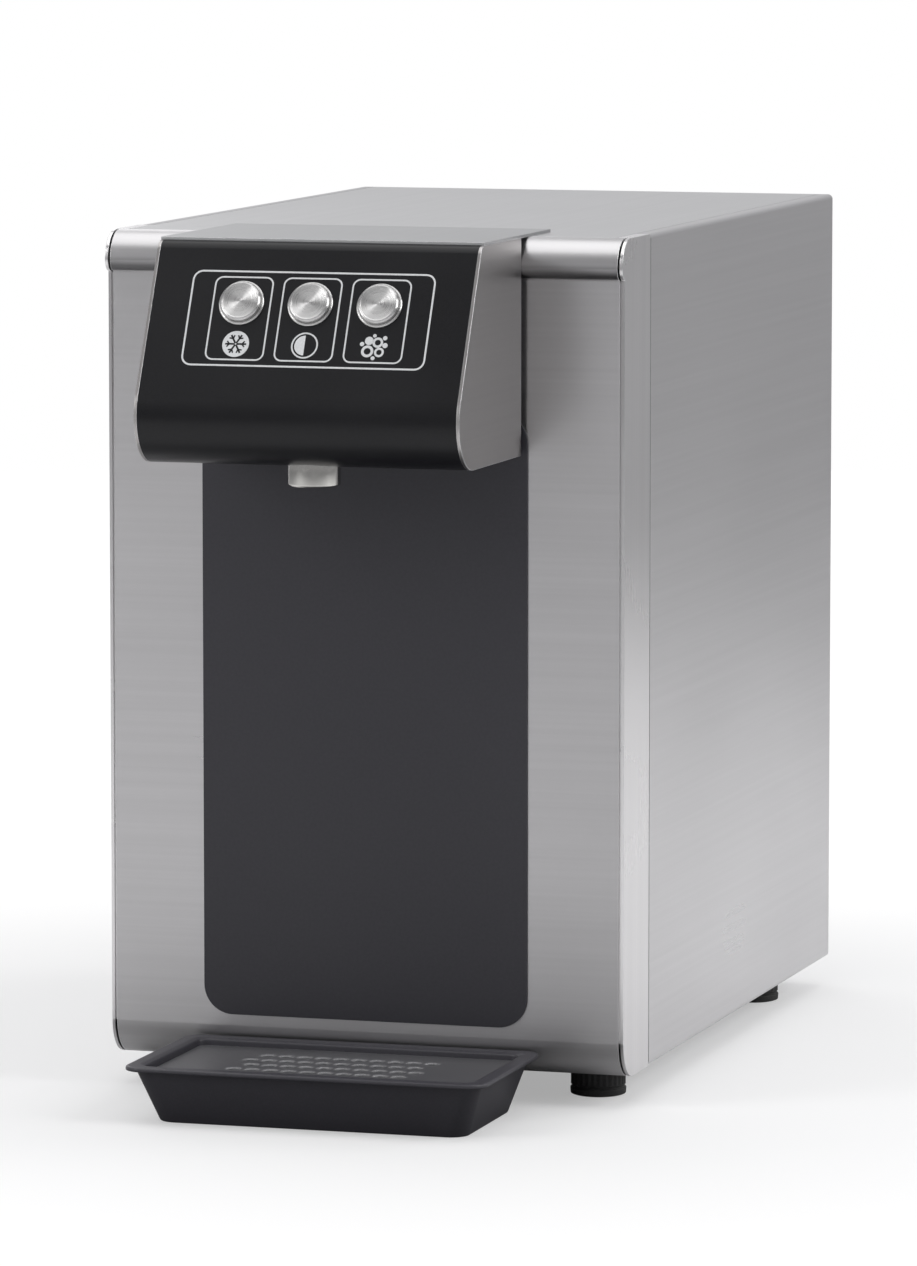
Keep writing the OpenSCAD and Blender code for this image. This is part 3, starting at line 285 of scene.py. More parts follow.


# Finishes colour the edges that this mask finds: partly as wear, partly as a painted highlight, and on the side
# panels as a painted shadow line.
def edge_wear_and_painted_light(tree, radius):
    """(softened normal, 0..1 mask that is high on edges): the bevel normal turns away from
    the true normal only beside an edge, so one minus their dot product marks the edge."""
    bevel = new_node(tree, "ShaderNodeBevel", samples=4)
    bevel.inputs["Radius"].default_value = radius
    true_normal = new_node(tree, "ShaderNodeNewGeometry").outputs["True Normal"]
    dot = new_node(tree, "ShaderNodeVectorMath", operation="DOT_PRODUCT")
    feed(tree, dot.inputs[0], bevel.outputs[0])
    feed(tree, dot.inputs[1], true_normal)
    return bevel.outputs[0], ramp(tree, dot.outputs["Value"], 1.0, 0.86, 0.0, 1.0)


def raise_surface(tree, shader, height, depth, base_normal=None):
    """Bump of that depth in metres, on top of a base normal."""
    bump = new_node(tree, "ShaderNodeBump")
    bump.inputs["Strength"].default_value = 1.0
    bump.inputs["Distance"].default_value = depth
    feed(tree, bump.inputs["Height"], height)
    if base_normal is not None:
        feed(tree, bump.inputs["Normal"], base_normal)
    feed(tree, shader.inputs["Normal"], bump.outputs[0])

# %% [markdown]
# ## Brushed steel
# Brushing scratches run one way along a sheet. Each scratch is a tiny groove, so a reflection
# is drawn out across the scratches: that is what the shader's anisotropy does. The Tangent
# input says which way the scratches run. It leans slightly off the axis, because on a folded
# lip that faces along the axis a tangent exactly on it would have no direction left. Fine and
# broad streaks change the colour and the roughness a little, and very large soft patches stand
# for the smudges that every wiped panel has.

# %% Brushed steel
AXES = {"x": (1.0, 0.0, 0.0), "y": (0.0, 1.0, 0.0), "z": (0.0, 0.0, 1.0)}
TANGENT_LEAN = 0.06


def brushed_steel(name, grain, colour=(0.60, 0.592, 0.600), rough=0.30, stretch=0.72,
                  edge_tone=(0.80, 0.80, 0.81), shade=None):
    """Steel with scratches along one axis: noise is long along it and short across it.
    shade is three heights in metres: it starts at the first, is full at the second and ends at the third. It is
    painted shade, a dark band in the base colour that stands in for the dark reflection that a bead's underside
    carries."""
    along = np.array(AXES[grain])
    finish, tree, shader = new_finish(name, colour, Metallic=1.0, Anisotropic=stretch,
                                      Anisotropic_Rotation=0.25)
    fine = noise(tree, tuple(np.where(along > 0, 4.0, 520.0)), 1.0)
    broad = noise(tree, tuple(np.where(along > 0, 1.5, 170.0)), 1.0)
    patches = noise(tree, (5.0, 5.0, 7.0), 2.0)
    wipes = noise(tree, (8.0, 8.0, 14.0), 0.0)
    soft, edge = edge_wear_and_painted_light(tree, 0.0005)
    streak = arithmetic(tree, "ADD", arithmetic(tree, "MULTIPLY", fine, 0.6),
                        arithmetic(tree, "MULTIPLY", broad, 0.4))
    wiped = arithmetic(tree, "ADD", ramp(tree, streak, 0.3, 0.7, rough - 0.004, rough + 0.004),
                       arithmetic(tree, "ADD", ramp(tree, patches, 0.35, 0.7, -0.025, 0.03),
                                  ramp(tree, wipes, 0.55, 0.75, 0.0, 0.008)))
    feed(tree, shader.inputs["Roughness"], wiped)
    toned = mix_colour(tree, ramp(tree, streak, 0.3, 0.7), tuple(0.97 * v for v in colour),
                       tuple(min(1.03 * v, 1.0) for v in colour))
    # Painted shade: between the shade heights the base colour turns near black, a painted reflection of the bead's
    # underside.
    if shade:
        split = new_node(tree, "ShaderNodeSeparateXYZ")
        feed(tree, split.inputs[0], new_node(tree, "ShaderNodeTexCoord").outputs["Object"])
        height = split.outputs["Z"]
        painted_reflection_band = arithmetic(tree, "MULTIPLY",
                           ramp(tree, height, shade[1], shade[2], 0.86, 0.0, smooth=True),
                           ramp(tree, height, shade[0], shade[0] + 0.0006))
        toned = mix_colour(tree, painted_reflection_band, toned, (0.05, 0.05, 0.052))
    # Edges take edge_tone: by default lighter, partly wear and partly a painted highlight along the fold.
    feed(tree, shader.inputs["Base Color"], mix_colour(tree, edge, toned, edge_tone))
    tangent = new_node(tree, "ShaderNodeCombineXYZ")
    for number, value in enumerate(AXES[grain]):
        tangent.inputs[number].default_value = value + TANGENT_LEAN * (1 - value)
    feed(tree, shader.inputs["Tangent"], tangent.outputs[0])
    feed(tree, shader.inputs["Normal"], soft)
    return finish


# Heights of the painted dark band on the lower part of the fascia's top roll.
roll_height = 0.020
roll_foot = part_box("front_fascia")[1][2] - roll_height
roll_shade = (roll_foot + 0.0004, roll_foot + 0.003, roll_foot + 0.0085)
steel_across = brushed_steel("steel_brushed_across", "x", shade=roll_shade)
# The side panels' edges are painted dark: a painted shadow line along the seams and folds.
steel_deep = brushed_steel("steel_brushed_front_to_back", "y", edge_tone=(0.30, 0.30, 0.305))
steel_top = brushed_steel("steel_brushed_top", "y", (0.64, 0.64, 0.645), 0.34, 0.6)
steel_head = brushed_steel("steel_head_sides", "y", (0.43, 0.415, 0.41), 0.32)


def dress(finish, *names):
    """Gives a finish to CAD nodes through their own material slots."""
    for name in names:
        for place in nodes[name].material_slots:
            place.material = finish
    print(finish.name, "->", len(names), "parts")


dress(steel_across, "front_fascia")
steel_cheek = brushed_steel("steel_brushed_upright", "z", (0.75, 0.74, 0.745), 0.28)
steel_lid = brushed_steel("steel_head_lid", "y", (0.47, 0.475, 0.48), 0.34, 0.6)
dress(steel_deep, "left_side_panel", "right_side_panel")
dress(steel_cheek, "left_cheek", "right_cheek")
dress(steel_top, "top_cover")
dress(steel_lid, "head_top_plate")
dress(steel_head, "head_left_side", "head_right_side")

# %% [markdown]
# ## Moulded, painted and cast finishes
# Most other finishes are the same recipe with other numbers: two close tones mixed by noise, a
# roughness that wanders, a fine bump, and edges a little lighter: partly wear where hands and
# tools rub, partly a painted highlight along the edge.

# %% Everyday finishes
def speckled(name, tone, other, per_metre, rough, bump=0.00001, edge_tone=None,
             edge_width=0.0004, edge_wear_and_sheen_share=0.6, **constants):
    """Two tones mixed by noise, with wandering roughness, fine bump and lighter edges: partly wear, partly a
    painted highlight.
    """
    finish, tree, shader = new_finish(name, tone, **constants)
    size = (per_metre,) * 3
    coarse, fine = noise(tree, size, 4.0), noise(tree, tuple(6.0 * v for v in size), 2.0)
    patches = noise(tree, (9.0, 9.0, 9.0), 2.0)
    soft, edge = edge_wear_and_painted_light(tree, edge_width)
    tones = mix_colour(tree, ramp(tree, coarse, 0.35, 0.65), tone, other)
    lit = edge_tone or tuple(min(1.0, 1.5 * v + 0.01) for v in tone)
    feed(tree, shader.inputs["Base Color"],
         mix_colour(tree, arithmetic(tree, "MULTIPLY", edge, edge_wear_and_sheen_share), tones, lit))
    feed(tree, shader.inputs["Roughness"],
         arithmetic(tree, "ADD", ramp(tree, fine, 0.3, 0.7, rough - 0.05, rough + 0.05),
                    ramp(tree, patches, 0.35, 0.7, -0.03, 0.04)))
    raise_surface(tree, shader, fine, bump, soft)
    return finish


black_lacquer = speckled("black_lacquer", (0.0035, 0.0035, 0.0048), (0.005, 0.005, 0.0068), 900, 0.34,
                         0.000005, (0.05, 0.05, 0.055), Specular_IOR_Level=0.32)
splash_black = speckled("splash_panel_black", (0.027, 0.026, 0.033), (0.031, 0.030, 0.038), 700, 0.42,
                        0.000008, Specular_IOR_Level=0.5)
# The grille's edges turn near white over a wider edge mask: a painted glint on the hole rims.
grille_black = speckled("grille_moulded_black", (0.085, 0.084, 0.092), (0.10, 0.099, 0.107), 1200, 0.34,
                        0.00002, (0.95, 0.95, 0.97), 0.0008, 1.0, Specular_IOR_Level=0.7)
tray_black = speckled("tray_moulded_black", (0.052, 0.050, 0.060), (0.060, 0.058, 0.069), 1200, 0.40,
                      0.00002, (0.09, 0.09, 0.10), Specular_IOR_Level=0.5)
moulded_black = speckled("moulded_black", (0.018, 0.018, 0.019), (0.025, 0.025, 0.026), 900, 0.45,
                         0.00002)
moulded_grey = speckled("moulded_grey", (0.23, 0.235, 0.24), (0.27, 0.275, 0.28), 700, 0.5, 0.00002)
foot_rubber = speckled("foot_rubber", (0.012, 0.012, 0.012), (0.022, 0.022, 0.022), 1500, 0.7,
                       0.00003)
rocker_red = speckled("rocker_red", (0.42, 0.02, 0.015), (0.50, 0.03, 0.02), 600, 0.32, 0.000008)
enamel = speckled("compressor_enamel", (0.013, 0.013, 0.014), (0.02, 0.02, 0.021), 160, 0.26, 0.00004,
                  Coat_Weight=0.4, Coat_Roughness=0.12)
copper = speckled("copper_tube", (0.62, 0.27, 0.15), (0.46, 0.19, 0.12), 120, 0.3, 0.000008,
                  Metallic=1.0)
brass = speckled("brass_body", (0.66, 0.48, 0.20), (0.56, 0.38, 0.15), 200, 0.34, 0.00002,
                 Metallic=1.0)
aluminium = speckled("aluminium_fin", (0.68, 0.69, 0.70), (0.60, 0.61, 0.62), 400, 0.36, 0.000015,
                     Metallic=1.0)
screw_steel = speckled("screw_steel", (0.52, 0.52, 0.53), (0.44, 0.44, 0.45), 900, 0.28, 0.00001,
                       (0.8, 0.8, 0.8), Metallic=1.0)
foam = speckled("insulation_foam", (0.72, 0.66, 0.48), (0.62, 0.55, 0.37), 500, 0.85, 0.0003)
tube_plastic = speckled("tube_plastic", (0.70, 0.74, 0.78), (0.62, 0.67, 0.72), 300, 0.25, 0.000008,
                        Coat_Weight=0.3)
print("finishes so far:", len(bpy.data.materials))

# %% [markdown]
# ## Zinc-plated sheet and the circuit board
# Hot-dipped zinc freezes in crystals, which show as flat patches of slightly different grey: a
# Voronoi cell is one crystal. The board uses Voronoi edges as copper tracks under the lacquer.

# %% Zinc and board
def spangled_zinc():
    """Every Voronoi cell takes its own grey and its own roughness."""
    finish, tree, shader = new_finish("zinc_sheet", (0.5, 0.5, 0.52), Metallic=1.0)
    crystals = new_node(tree, "ShaderNodeTexVoronoi")
    crystals.inputs["Scale"].default_value = 130.0
    feed(tree, crystals.inputs["Vector"], new_node(tree, "ShaderNodeTexCoord").outputs["Object"])
    one = new_node(tree, "ShaderNodeSeparateColor")
    feed(tree, one.inputs[0], crystals.outputs["Color"])
    soft, edge = edge_wear_and_painted_light(tree, 0.0005)
    patches = noise(tree, (12.0, 12.0, 12.0), 3.0)
    tones = mix_colour(tree, one.outputs[0], (0.42, 0.43, 0.45), (0.53, 0.54, 0.56))
    dulled = mix_colour(tree, ramp(tree, patches, 0.4, 0.7, 0.0, 0.4), tones, (0.40, 0.40, 0.41))
    feed(tree, shader.inputs["Base Color"], mix_colour(tree, edge, dulled, (0.7, 0.7, 0.71)))
    feed(tree, shader.inputs["Roughness"], ramp(tree, one.outputs[1], 0.0, 1.0, 0.34, 0.48))
    raise_surface(tree, shader, one.outputs[2], 0.000004, soft)
    return finish


def board_green():
    """Voronoi edges are tracks: near an edge the distance to it falls to zero."""
    finish, tree, shader = new_finish("circuit_board", (0.02, 0.12, 0.06), Roughness=0.3)
    tracks = new_node(tree, "ShaderNodeTexVoronoi", feature="DISTANCE_TO_EDGE")
    tracks.inputs["Scale"].default_value = 160.0
    feed(tree, tracks.inputs["Vector"], new_node(tree, "ShaderNodeTexCoord").outputs["Object"])
    line = ramp(tree, tracks.outputs["Distance"], 0.03, 0.08, 1.0, 0.0)
    feed(tree, shader.inputs["Base Color"],
         mix_colour(tree, line, (0.012, 0.10, 0.045), (0.04, 0.22, 0.10)))
    raise_surface(tree, shader, line, 0.00003)
    return finish


zinc, board = spangled_zinc(), board_green()

# %% Dress the parts that keep their exact shape
by_slot = {"zinc_sheet": zinc, "circuit_board": board, "copper_tube": copper, "brass_body": brass,
           "aluminium_fin": aluminium, "screw_steel": screw_steel, "foam": foam,
           "tube_plastic": tube_plastic, "compressor_enamel": enamel, "rocker_red": rocker_red,
           "foot_rubber": foot_rubber, "moulded_grey": moulded_grey, "moulded_black": moulded_black,
           "black_panel": black_lacquer, "tray_plastic": tray_black, "turned_steel": screw_steel}
for finish_slot, finish in by_slot.items():
    mine = [s["node"] for s in frame["record"]["subparts"] if s["material_slot"] == finish_slot]
    dress(finish, *mine)
dress(splash_black, "splash_panel")

# %% [markdown]
# ## Surfaces worked out with numpy
# Turned, knurled and moulded parts are easier to compute than to drag. A surface here is a grid
# of points with two parameters. Neighbouring points make faces, points that meet at a seam or
# a pole are merged, and the faces are turned outwards. Edges sharper than about 38 degrees
# stay crisp and the rest is shaded smooth.

# %% Surface helpers
def put_piece(name, grids, finish, body="casing", stands_for=(), angle=38.0, turn_out=True):
    """Joins grids of points (rows, columns, 3), with their (rows, columns, 2) UVs, in one mesh."""
    points, faces, maps, start = [], [], [], 0
    for spots, chart in grids:
        rows, columns = spots.shape[:2]
        quads = grid_faces(rows, columns)
        points.append(spots.reshape(-1, 3))
        faces.append(quads + start)
        maps.append(chart.reshape(-1, 2)[quads].reshape(-1, 2))
        start += rows * columns
    mesh = bpy.data.meshes.new(name)
    mesh.from_pydata(np.concatenate(points).tolist(), [], np.concatenate(faces).tolist())
    layer = mesh.uv_layers.new(name="UVMap")
    layer.data.foreach_set("uv", np.concatenate(maps).astype(np.float32).ravel())
    shape = bmesh.new()
    shape.from_mesh(mesh)
    bmesh.ops.remove_doubles(shape, verts=shape.verts, dist=2e-6)
    bmesh.ops.dissolve_degenerate(shape, edges=shape.edges, dist=1e-7)
    if turn_out:
        bmesh.ops.recalc_face_normals(shape, faces=shape.faces)
    shape.to_mesh(mesh)
    shape.free()
    mesh.polygons.foreach_set("use_smooth", np.ones(len(mesh.polygons), dtype=bool))
    mesh.set_sharp_from_angle(angle=math.radians(angle))
    mesh.materials.append(finish)
    made = bpy.data.objects.new(name, mesh)
    bpy.context.scene.collection.objects.link(made)
    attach(made, body)
    if stands_for:
        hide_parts(*stands_for)
    print(name, "faces:", len(mesh.polygons))
    return made


def ease(points, size, steps=5):
    """Rounds the inner corners of an open line. Near a corner P the line follows the curve
    (1-t)^2 A + 2t(1-t) P + t^2 B, where A and B lie `size` before and after P."""
    points = np.asarray(points, float)
    size = np.broadcast_to(np.asarray(size, float), len(points))[1:-1, None]
    corner, back, ahead = points[1:-1], points[:-2] - points[1:-1], points[2:] - points[1:-1]
    long_back = np.linalg.norm(back, axis=1, keepdims=True)
    long_ahead = np.linalg.norm(ahead, axis=1, keepdims=True)
    reach = np.minimum(size, 0.45 * np.minimum(long_back, long_ahead))
    first = (corner + back / long_back * reach)[:, None]
    last = (corner + ahead / long_ahead * reach)[:, None]
    t = np.linspace(0, 1, steps)[None, :, None]
    curve = (1 - t) ** 2 * first + 2 * t * (1 - t) * corner[:, None] + t ** 2 * last
    return np.concatenate([points[:1], curve.reshape(-1, points.shape[1]), points[-1:]])


def side_axes(axis):
    """Two unit vectors square to the axis and to each other."""
    axis = np.array(axis, float)
    side = np.cross(axis, [1.0, 0.0, 0.0] if abs(axis[0]) < 0.9 else [0.0, 1.0, 0.0])
    side /= np.linalg.norm(side)
    return side, np.cross(axis, side)


def spun(profile, centre, axis, steps=96, shape=None):
    """A profile of (radius, height) pairs in mm turned about an axis: the point is centre +
    radius (cos a side + sin a other) + height axis. shape(radius, height, a) may change both."""
    turn = np.linspace(0, 2 * np.pi, steps + 1)[None, :]
    radius, height = [np.repeat(part[:, None], steps + 1, 1) for part in np.asarray(profile, float).T]
    turn = np.repeat(turn, len(radius), 0)
    if shape is not None:
        radius, height = shape(radius, height, turn)
    side, other = side_axes(axis)
    spots = (np.asarray(centre) + MM * (radius * np.cos(turn))[..., None] * side
             + MM * (radius * np.sin(turn))[..., None] * other
             + MM * height[..., None] * np.asarray(axis, float))
    return spots, np.stack([turn / (2 * np.pi), radius / 20.0], -1)

# %% [markdown]
# ## Turned steel
# The button caps and the spout are turned on a lathe, which leaves fine circles round their
# axis. The UV map runs round the circle in u and outwards in v, so a wave along v is a set of
# circular grooves, and a tangent along u makes the bright X-shaped fans that turned metal shows.

# %% Turned steel finish
def turned_steel(name, colour, grooves, rough, stretch):
    """Grooves are a wave along v; anisotropy follows the circles through the UV tangent."""
    finish, tree, shader = new_finish(name, colour, Metallic=1.0, Anisotropic=stretch,
                                      Anisotropic_Rotation=0.25)
    chart = new_node(tree, "ShaderNodeUVMap", uv_map="UVMap").outputs[0]
    rings = noise(tree, (2.0, grooves, 1.0), 3.0, chart)
    broad = noise(tree, (1.0, grooves / 6.0, 1.0), 2.0, chart)
    spots_of_wear = noise(tree, (300.0, 300.0, 300.0), 3.0)
    soft, edge = edge_wear_and_painted_light(tree, 0.00025)
    toned = mix_colour(tree, ramp(tree, broad, 0.3, 0.7), tuple(0.80 * v for v in colour), colour)
    feed(tree, shader.inputs["Base Color"], mix_colour(tree, edge, toned, (0.88, 0.88, 0.87)))
    feed(tree, shader.inputs["Roughness"],
         arithmetic(tree, "ADD", ramp(tree, rings, 0.3, 0.7, rough - 0.06, rough + 0.06),
                    ramp(tree, spots_of_wear, 0.5, 0.75, 0.0, 0.06)))
    feed(tree, shader.inputs["Tangent"], new_node(tree, "ShaderNodeTangent", direction_type="UV_MAP",
                                                  uv_map="UVMap").outputs[0])
    raise_surface(tree, shader, rings, 0.000002, soft)
    return finish


cap_steel = turned_steel("button_turned_steel", (0.72, 0.715, 0.71), 90.0, 0.30, 0.9)
spout_steel = turned_steel("spout_turned_steel", (0.70, 0.69, 0.66), 40.0, 0.09, 0.2)

# %% Buttons and their collars
presses = {j["child"]: j for j in frame["joints"] if j["name"].endswith("_press")}
outward = -np.array(presses["ambient_button"]["axis"], float)
outward /= np.linalg.norm(outward)
upward = np.array([0.0, -outward[2] * np.sign(outward[1]), abs(outward[1])])


def node_points(name):
    """Every vertex of a CAD node as an (n, 3) array."""
    mesh = nodes[name].data
    flat = np.empty(3 * len(mesh.vertices))
    mesh.vertices.foreach_get("co", flat)
    return flat.reshape(-1, 3)


face_level = (node_points("head_front_cover") @ outward).max()


def cap_centre(name):
    """Where a button's axis meets the slanted face: the middle of its top ring, dropped on it."""
    points = node_points(name)
    level = points @ outward
    top = points[level > level.max() - 1e-5]
    centre = (top.min(0) + top.max(0)) / 2
    return centre - (centre @ outward - face_level) * outward, (level.max() - face_level) / MM, \
        (level.min() - face_level) / MM


cap_radius = (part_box("ambient_button")[1][0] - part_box("ambient_button")[0][0]) / 2 / MM
stem_radius, skirt = 3.0, -4.0
centres = {}
for name in presses:
    centre, proud, deep = cap_centre(name)
    centres[name] = centre
    outline = [(0, deep), (stem_radius, deep), (stem_radius, skirt), (cap_radius, skirt),
               (cap_radius, proud - 0.9), (cap_radius - 0.75, proud), (cap_radius - 1.35, proud),
               (cap_radius - 1.7, proud - 0.28), (cap_radius - 2.1, proud - 0.28),
               (0.55 * cap_radius, proud - 0.42), (0, proud - 0.5)]
    put_piece(name + "_cap", [spun(ease(outline, 0.22), centre, outward)], cap_steel,
              name, (name,))
print("cap radius", round(cap_radius, 2), "stands", round(proud, 2), "mm proud")

housing_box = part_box("button_housings")
collar = housing_box[1][0] / MM - centres["sparkling_button"][0] / MM
bore = cap_radius + 0.05
depth = -21.0
wall = [(0, depth), (cap_radius + 0.7, depth), (cap_radius + 0.7, 0), (collar, 0), (collar, 0.55),
        (collar - 0.45, 1.0), (bore + 0.25, 1.0), (bore, 0.8), (bore, depth + 2), (0, depth + 2)]
put_piece("button_collars", [spun(ease(wall, 0.15, 4), c, outward) for c in centres.values()],
          cap_steel, "casing", ("button_housings",))

# %% [markdown]
# ## Spout
# One thick sleeve hangs below the head with a narrower insert inside it, so that the stream
# leaves straight. One profile draws both, and its eased rim catches a second highlight.

# %% Spout
low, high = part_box("nozzle")
spout_axis = np.array([(low[0] + high[0]) / 2, (low[1] + high[1]) / 2, low[2]])
sleeve, total = (high[0] - low[0]) / 2 / MM, (high[2] - low[2]) / MM
outline = [(4.05, total), (7, total), (7, 20), (sleeve, 20), (sleeve, 0.9), (sleeve - 0.9, 0),
           (sleeve - 2.6, 0), (8.5, 0.9), (8.5, 5), (6.6, 5), (6.6, 1.6), (5.9, 1.0), (4.6, 1.0),
           (4.05, 1.6), (4.05, total)]
put_piece("spout", [spun(ease(outline, 0.3), spout_axis, (0, 0, 1))], spout_steel,
          "casing", ("nozzle",))

# %% [markdown]
# ## Painted seam shadows
# Each upright seam between a cheek and its side panel is filled with a black strip just below
# the surface: a painted shadow, a dark piece put where there is only shade, so that the seam reads
# as a crisp dark line even when it is seen at a narrow angle. What really lies behind such a seam
# is a guess. A strip is one cross-section, a small rectangle with eased corners, carried along a
# straight path.

# %% Strips along a path
def strip(path, across, outwards, width, height, corner=0.15):
    """A rectangle width x height (mm), eased, carried along a path of points in metres:
    point = path + u * across + v * outwards, with both ends gathered to close them."""
    box = np.array([(0, -1), (1, -1), (1, 1), (-1, 1), (-1, -1), (0, -1)]) * [width / 2, height / 2]
    box = ease(box, corner, 4) * MM
    path = np.asarray(path, float)
    path = np.concatenate([path[:1], path, path[-1:]])
    full = np.ones(len(path))
    full[[0, -1]] = 0
    spots = (path[:, None] + full[:, None, None] * (box[None, :, :1] * np.asarray(across, float)
                                                    + box[None, :, 1:] * np.asarray(outwards, float)))
    return spots, 0 * spots[..., :2]


cheek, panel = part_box("right_cheek"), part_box("right_side_panel")
gap_y, gap = (cheek[1][1] + panel[0][1]) / 2, (panel[0][1] - cheek[1][1]) / MM
shadow_strip_x = cheek[1][0] - 0.5 * MM
heights = np.linspace(cheek[0][2] + 0.004, cheek[1][2] - 0.004, 40)
# Painted shadow: black strips in the seams, dark pieces put where there is only shade.
seam_shadow_strips = [strip(np.stack([0 * heights + side * shadow_strip_x, 0 * heights + gap_y, heights], -1),
               (0, 1, 0), (side, 0, 0), gap - 0.06, 0.8, 0.1) for side in (-1, 1)]
put_piece("painted_seam_shadows", seam_shadow_strips, foot_rubber)
print("seam", round(gap, 2), "mm")

# %% [markdown]
# ## Printed frames and signs
# The slanted face carries a rounded white frame round the three buttons, a smaller frame round
# each one, and a sign under it: frost for cold, a half-filled disc for room temperature and
# bubbles for sparkling. Screen ink is thin, so each line is a band a few hundredths of a
# millimetre high, drawn in the face's own two directions and laid on the face.

# %% Ink helpers
ink = speckled("screen_print_white", (0.74, 0.75, 0.76), (0.66, 0.67, 0.68), 1500, 0.42, 0.000004)
face_origin = centres["ambient_button"]


def on_face(across, along, height):
    """Millimetres across, up the slope and above the face, as a point in the room."""
    return (face_origin + MM * across[..., None] * np.array([1.0, 0.0, 0.0])
            + MM * along[..., None] * upward + MM * height[..., None] * outward)


def rounded_loop(half_w, half_h, radius, steps=8):
    """A closed loop round a rectangle: four quarter circles joined by their ends."""
    quarter = np.linspace(0, np.pi / 2, steps)
    turn = (np.arange(4)[:, None] * np.pi / 2 + quarter).ravel()
    sx = np.repeat([1, -1, -1, 1], steps)
    sy = np.repeat([1, 1, -1, -1], steps)
    loop = np.stack([sx * (half_w - radius) + radius * np.cos(turn),
                     sy * (half_h - radius) + radius * np.sin(turn)], -1)
    return np.concatenate([loop, loop[:1]])


def band(outer, inner, top=0.045, base=-0.01):
    """Ink between two loops of points: outer wall, top, inner wall and underside."""
    loops = np.stack([outer, outer, inner, inner, outer])
    heights = np.array([base, top, top, base, base])[:, None] * np.ones(len(outer))
    return on_face(loops[..., 0], loops[..., 1], heights), 0 * loops


def ink_frame(x, y, half_w, half_h, radius, line):
    """A rounded frame whose line is `line` mm wide."""
    shift = np.array([x, y])
    return band(rounded_loop(half_w, half_h, radius) + shift,
                rounded_loop(half_w - line, half_h - line, radius - line) + shift)


def ink_disc(x, y, radius, top=0.045, hole=0.0, start=0.0, end=360.0):
    """A disc, ring or sector: hole is the inner radius, start and end are angles in degrees."""
    turn = np.radians(np.linspace(start, end, 49))
    edge = np.stack([np.cos(turn), np.sin(turn)], -1)
    return band(radius * edge + [x, y], hole * edge + [x, y], top)


def ink_bar(x, y, angle, start, end, line, top=0.045):
    """A straight bar from start to end along an angle, `line` wide."""
    turn = math.radians(angle)
    ahead, side = np.array([math.cos(turn), math.sin(turn)]), np.array([-math.sin(turn), math.cos(turn)])
    ends = np.array([[start, -1], [end, -1], [end, 1], [start, 1], [start, -1]]) * [1, line / 2]
    loop = ends[:, :1] * ahead + ends[:, 1:] * side + [x, y]
    return band(loop, np.zeros_like(loop) + loop[:4].mean(0), top)

# %% Print the frames and signs
pitch = abs(centres["sparkling_button"][0] - centres["ambient_button"][0]) / MM
frame_y, sign_y, sign_r = -7.8, -20.8, 6.6
frames = [ink_frame(0, frame_y, 60, 24.3, 5.0, 0.9)]
frames += [ink_frame(x, frame_y, 14.6, 21.3, 4.0, 0.8) for x in (-pitch, 0, pitch)]
put_piece("printed_frames", frames, ink)

disc = [ink_disc(-pitch, sign_y, sign_r)]
put_piece("cold_sign", disc, ink)
arms = [ink_bar(-pitch, sign_y, a, 0.4, 5.2, 0.9, 0.08) for a in range(0, 360, 60)]
tips = [ink_bar(-pitch + 3.1 * math.cos(math.radians(a)), sign_y + 3.1 * math.sin(math.radians(a)),
                a + turn_by, 0.0, 1.9, 0.7, 0.08) for a in range(0, 360, 60) for turn_by in (50, -50)]
put_piece("cold_sign_frost", arms + tips, black_lacquer)
half = [ink_disc(0, sign_y, sign_r, hole=sign_r - 0.8),
        ink_disc(0, sign_y, sign_r - 1.6, start=90, end=270)]
put_piece("ambient_sign", half, ink)
bubbles = [(-2.9, -2.2, 3.0), (2.9, -2.6, 2.4), (-2.6, 3.1, 2.1), (1.7, 2.3, 2.6), (5.4, 0.9, 1.3),
           (5.0, 4.6, 1.1), (-0.2, 5.7, 0.9), (-5.9, 1.4, 1.1), (0.2, -5.6, 1.0)]
rings = [ink_disc(pitch + x, sign_y + y, r, hole=0.55 * r if r > 2.2 else 0.0) for x, y, r in bubbles]
put_piece("sparkling_sign", rings, ink)

# %% [markdown]
# ## Drip tray
# A moulded tray is a stack of rounded rectangles. Reading them in order, from the middle of the
# underside, up the tapered outside, over the rim, down the inside and back to the middle, gives
# one closed skin. Each loop is five numbers: half width, front, back, corner radius and height.
# Rounding the corners of that list of numbers rounds every edge of the tray at once.

# %% Loft of rounded rectangles
def loft(rows, edge, steps=5, corner_steps=8):
    """Rounded rectangles (half width, front, back, radius, height) in mm, eased and stacked."""
    rows = ease(rows, edge, steps)
    quarter = np.linspace(0, np.pi / 2, corner_steps)
    turn = (np.arange(4)[:, None] * np.pi / 2 + quarter).ravel()
    sx, sy = np.repeat([1, -1, -1, 1], corner_steps), np.repeat([1, 1, -1, -1], corner_steps)
    half_w, front, back, radius, height = [rows[:, i:i + 1] for i in range(5)]
    half_d = (back - front) / 2
    radius = np.clip(np.minimum(radius, np.minimum(half_w, half_d)), 0, None)
    x = sx * (half_w - radius) + radius * np.cos(turn)
    y = (front + back) / 2 + sy * (half_d - radius) + radius * np.sin(turn)
    spots = MM * np.stack([x, y, height + 0 * x], -1)
    spots = np.concatenate([spots, spots[:, :1]], 1)
    return spots, spots[..., :2]


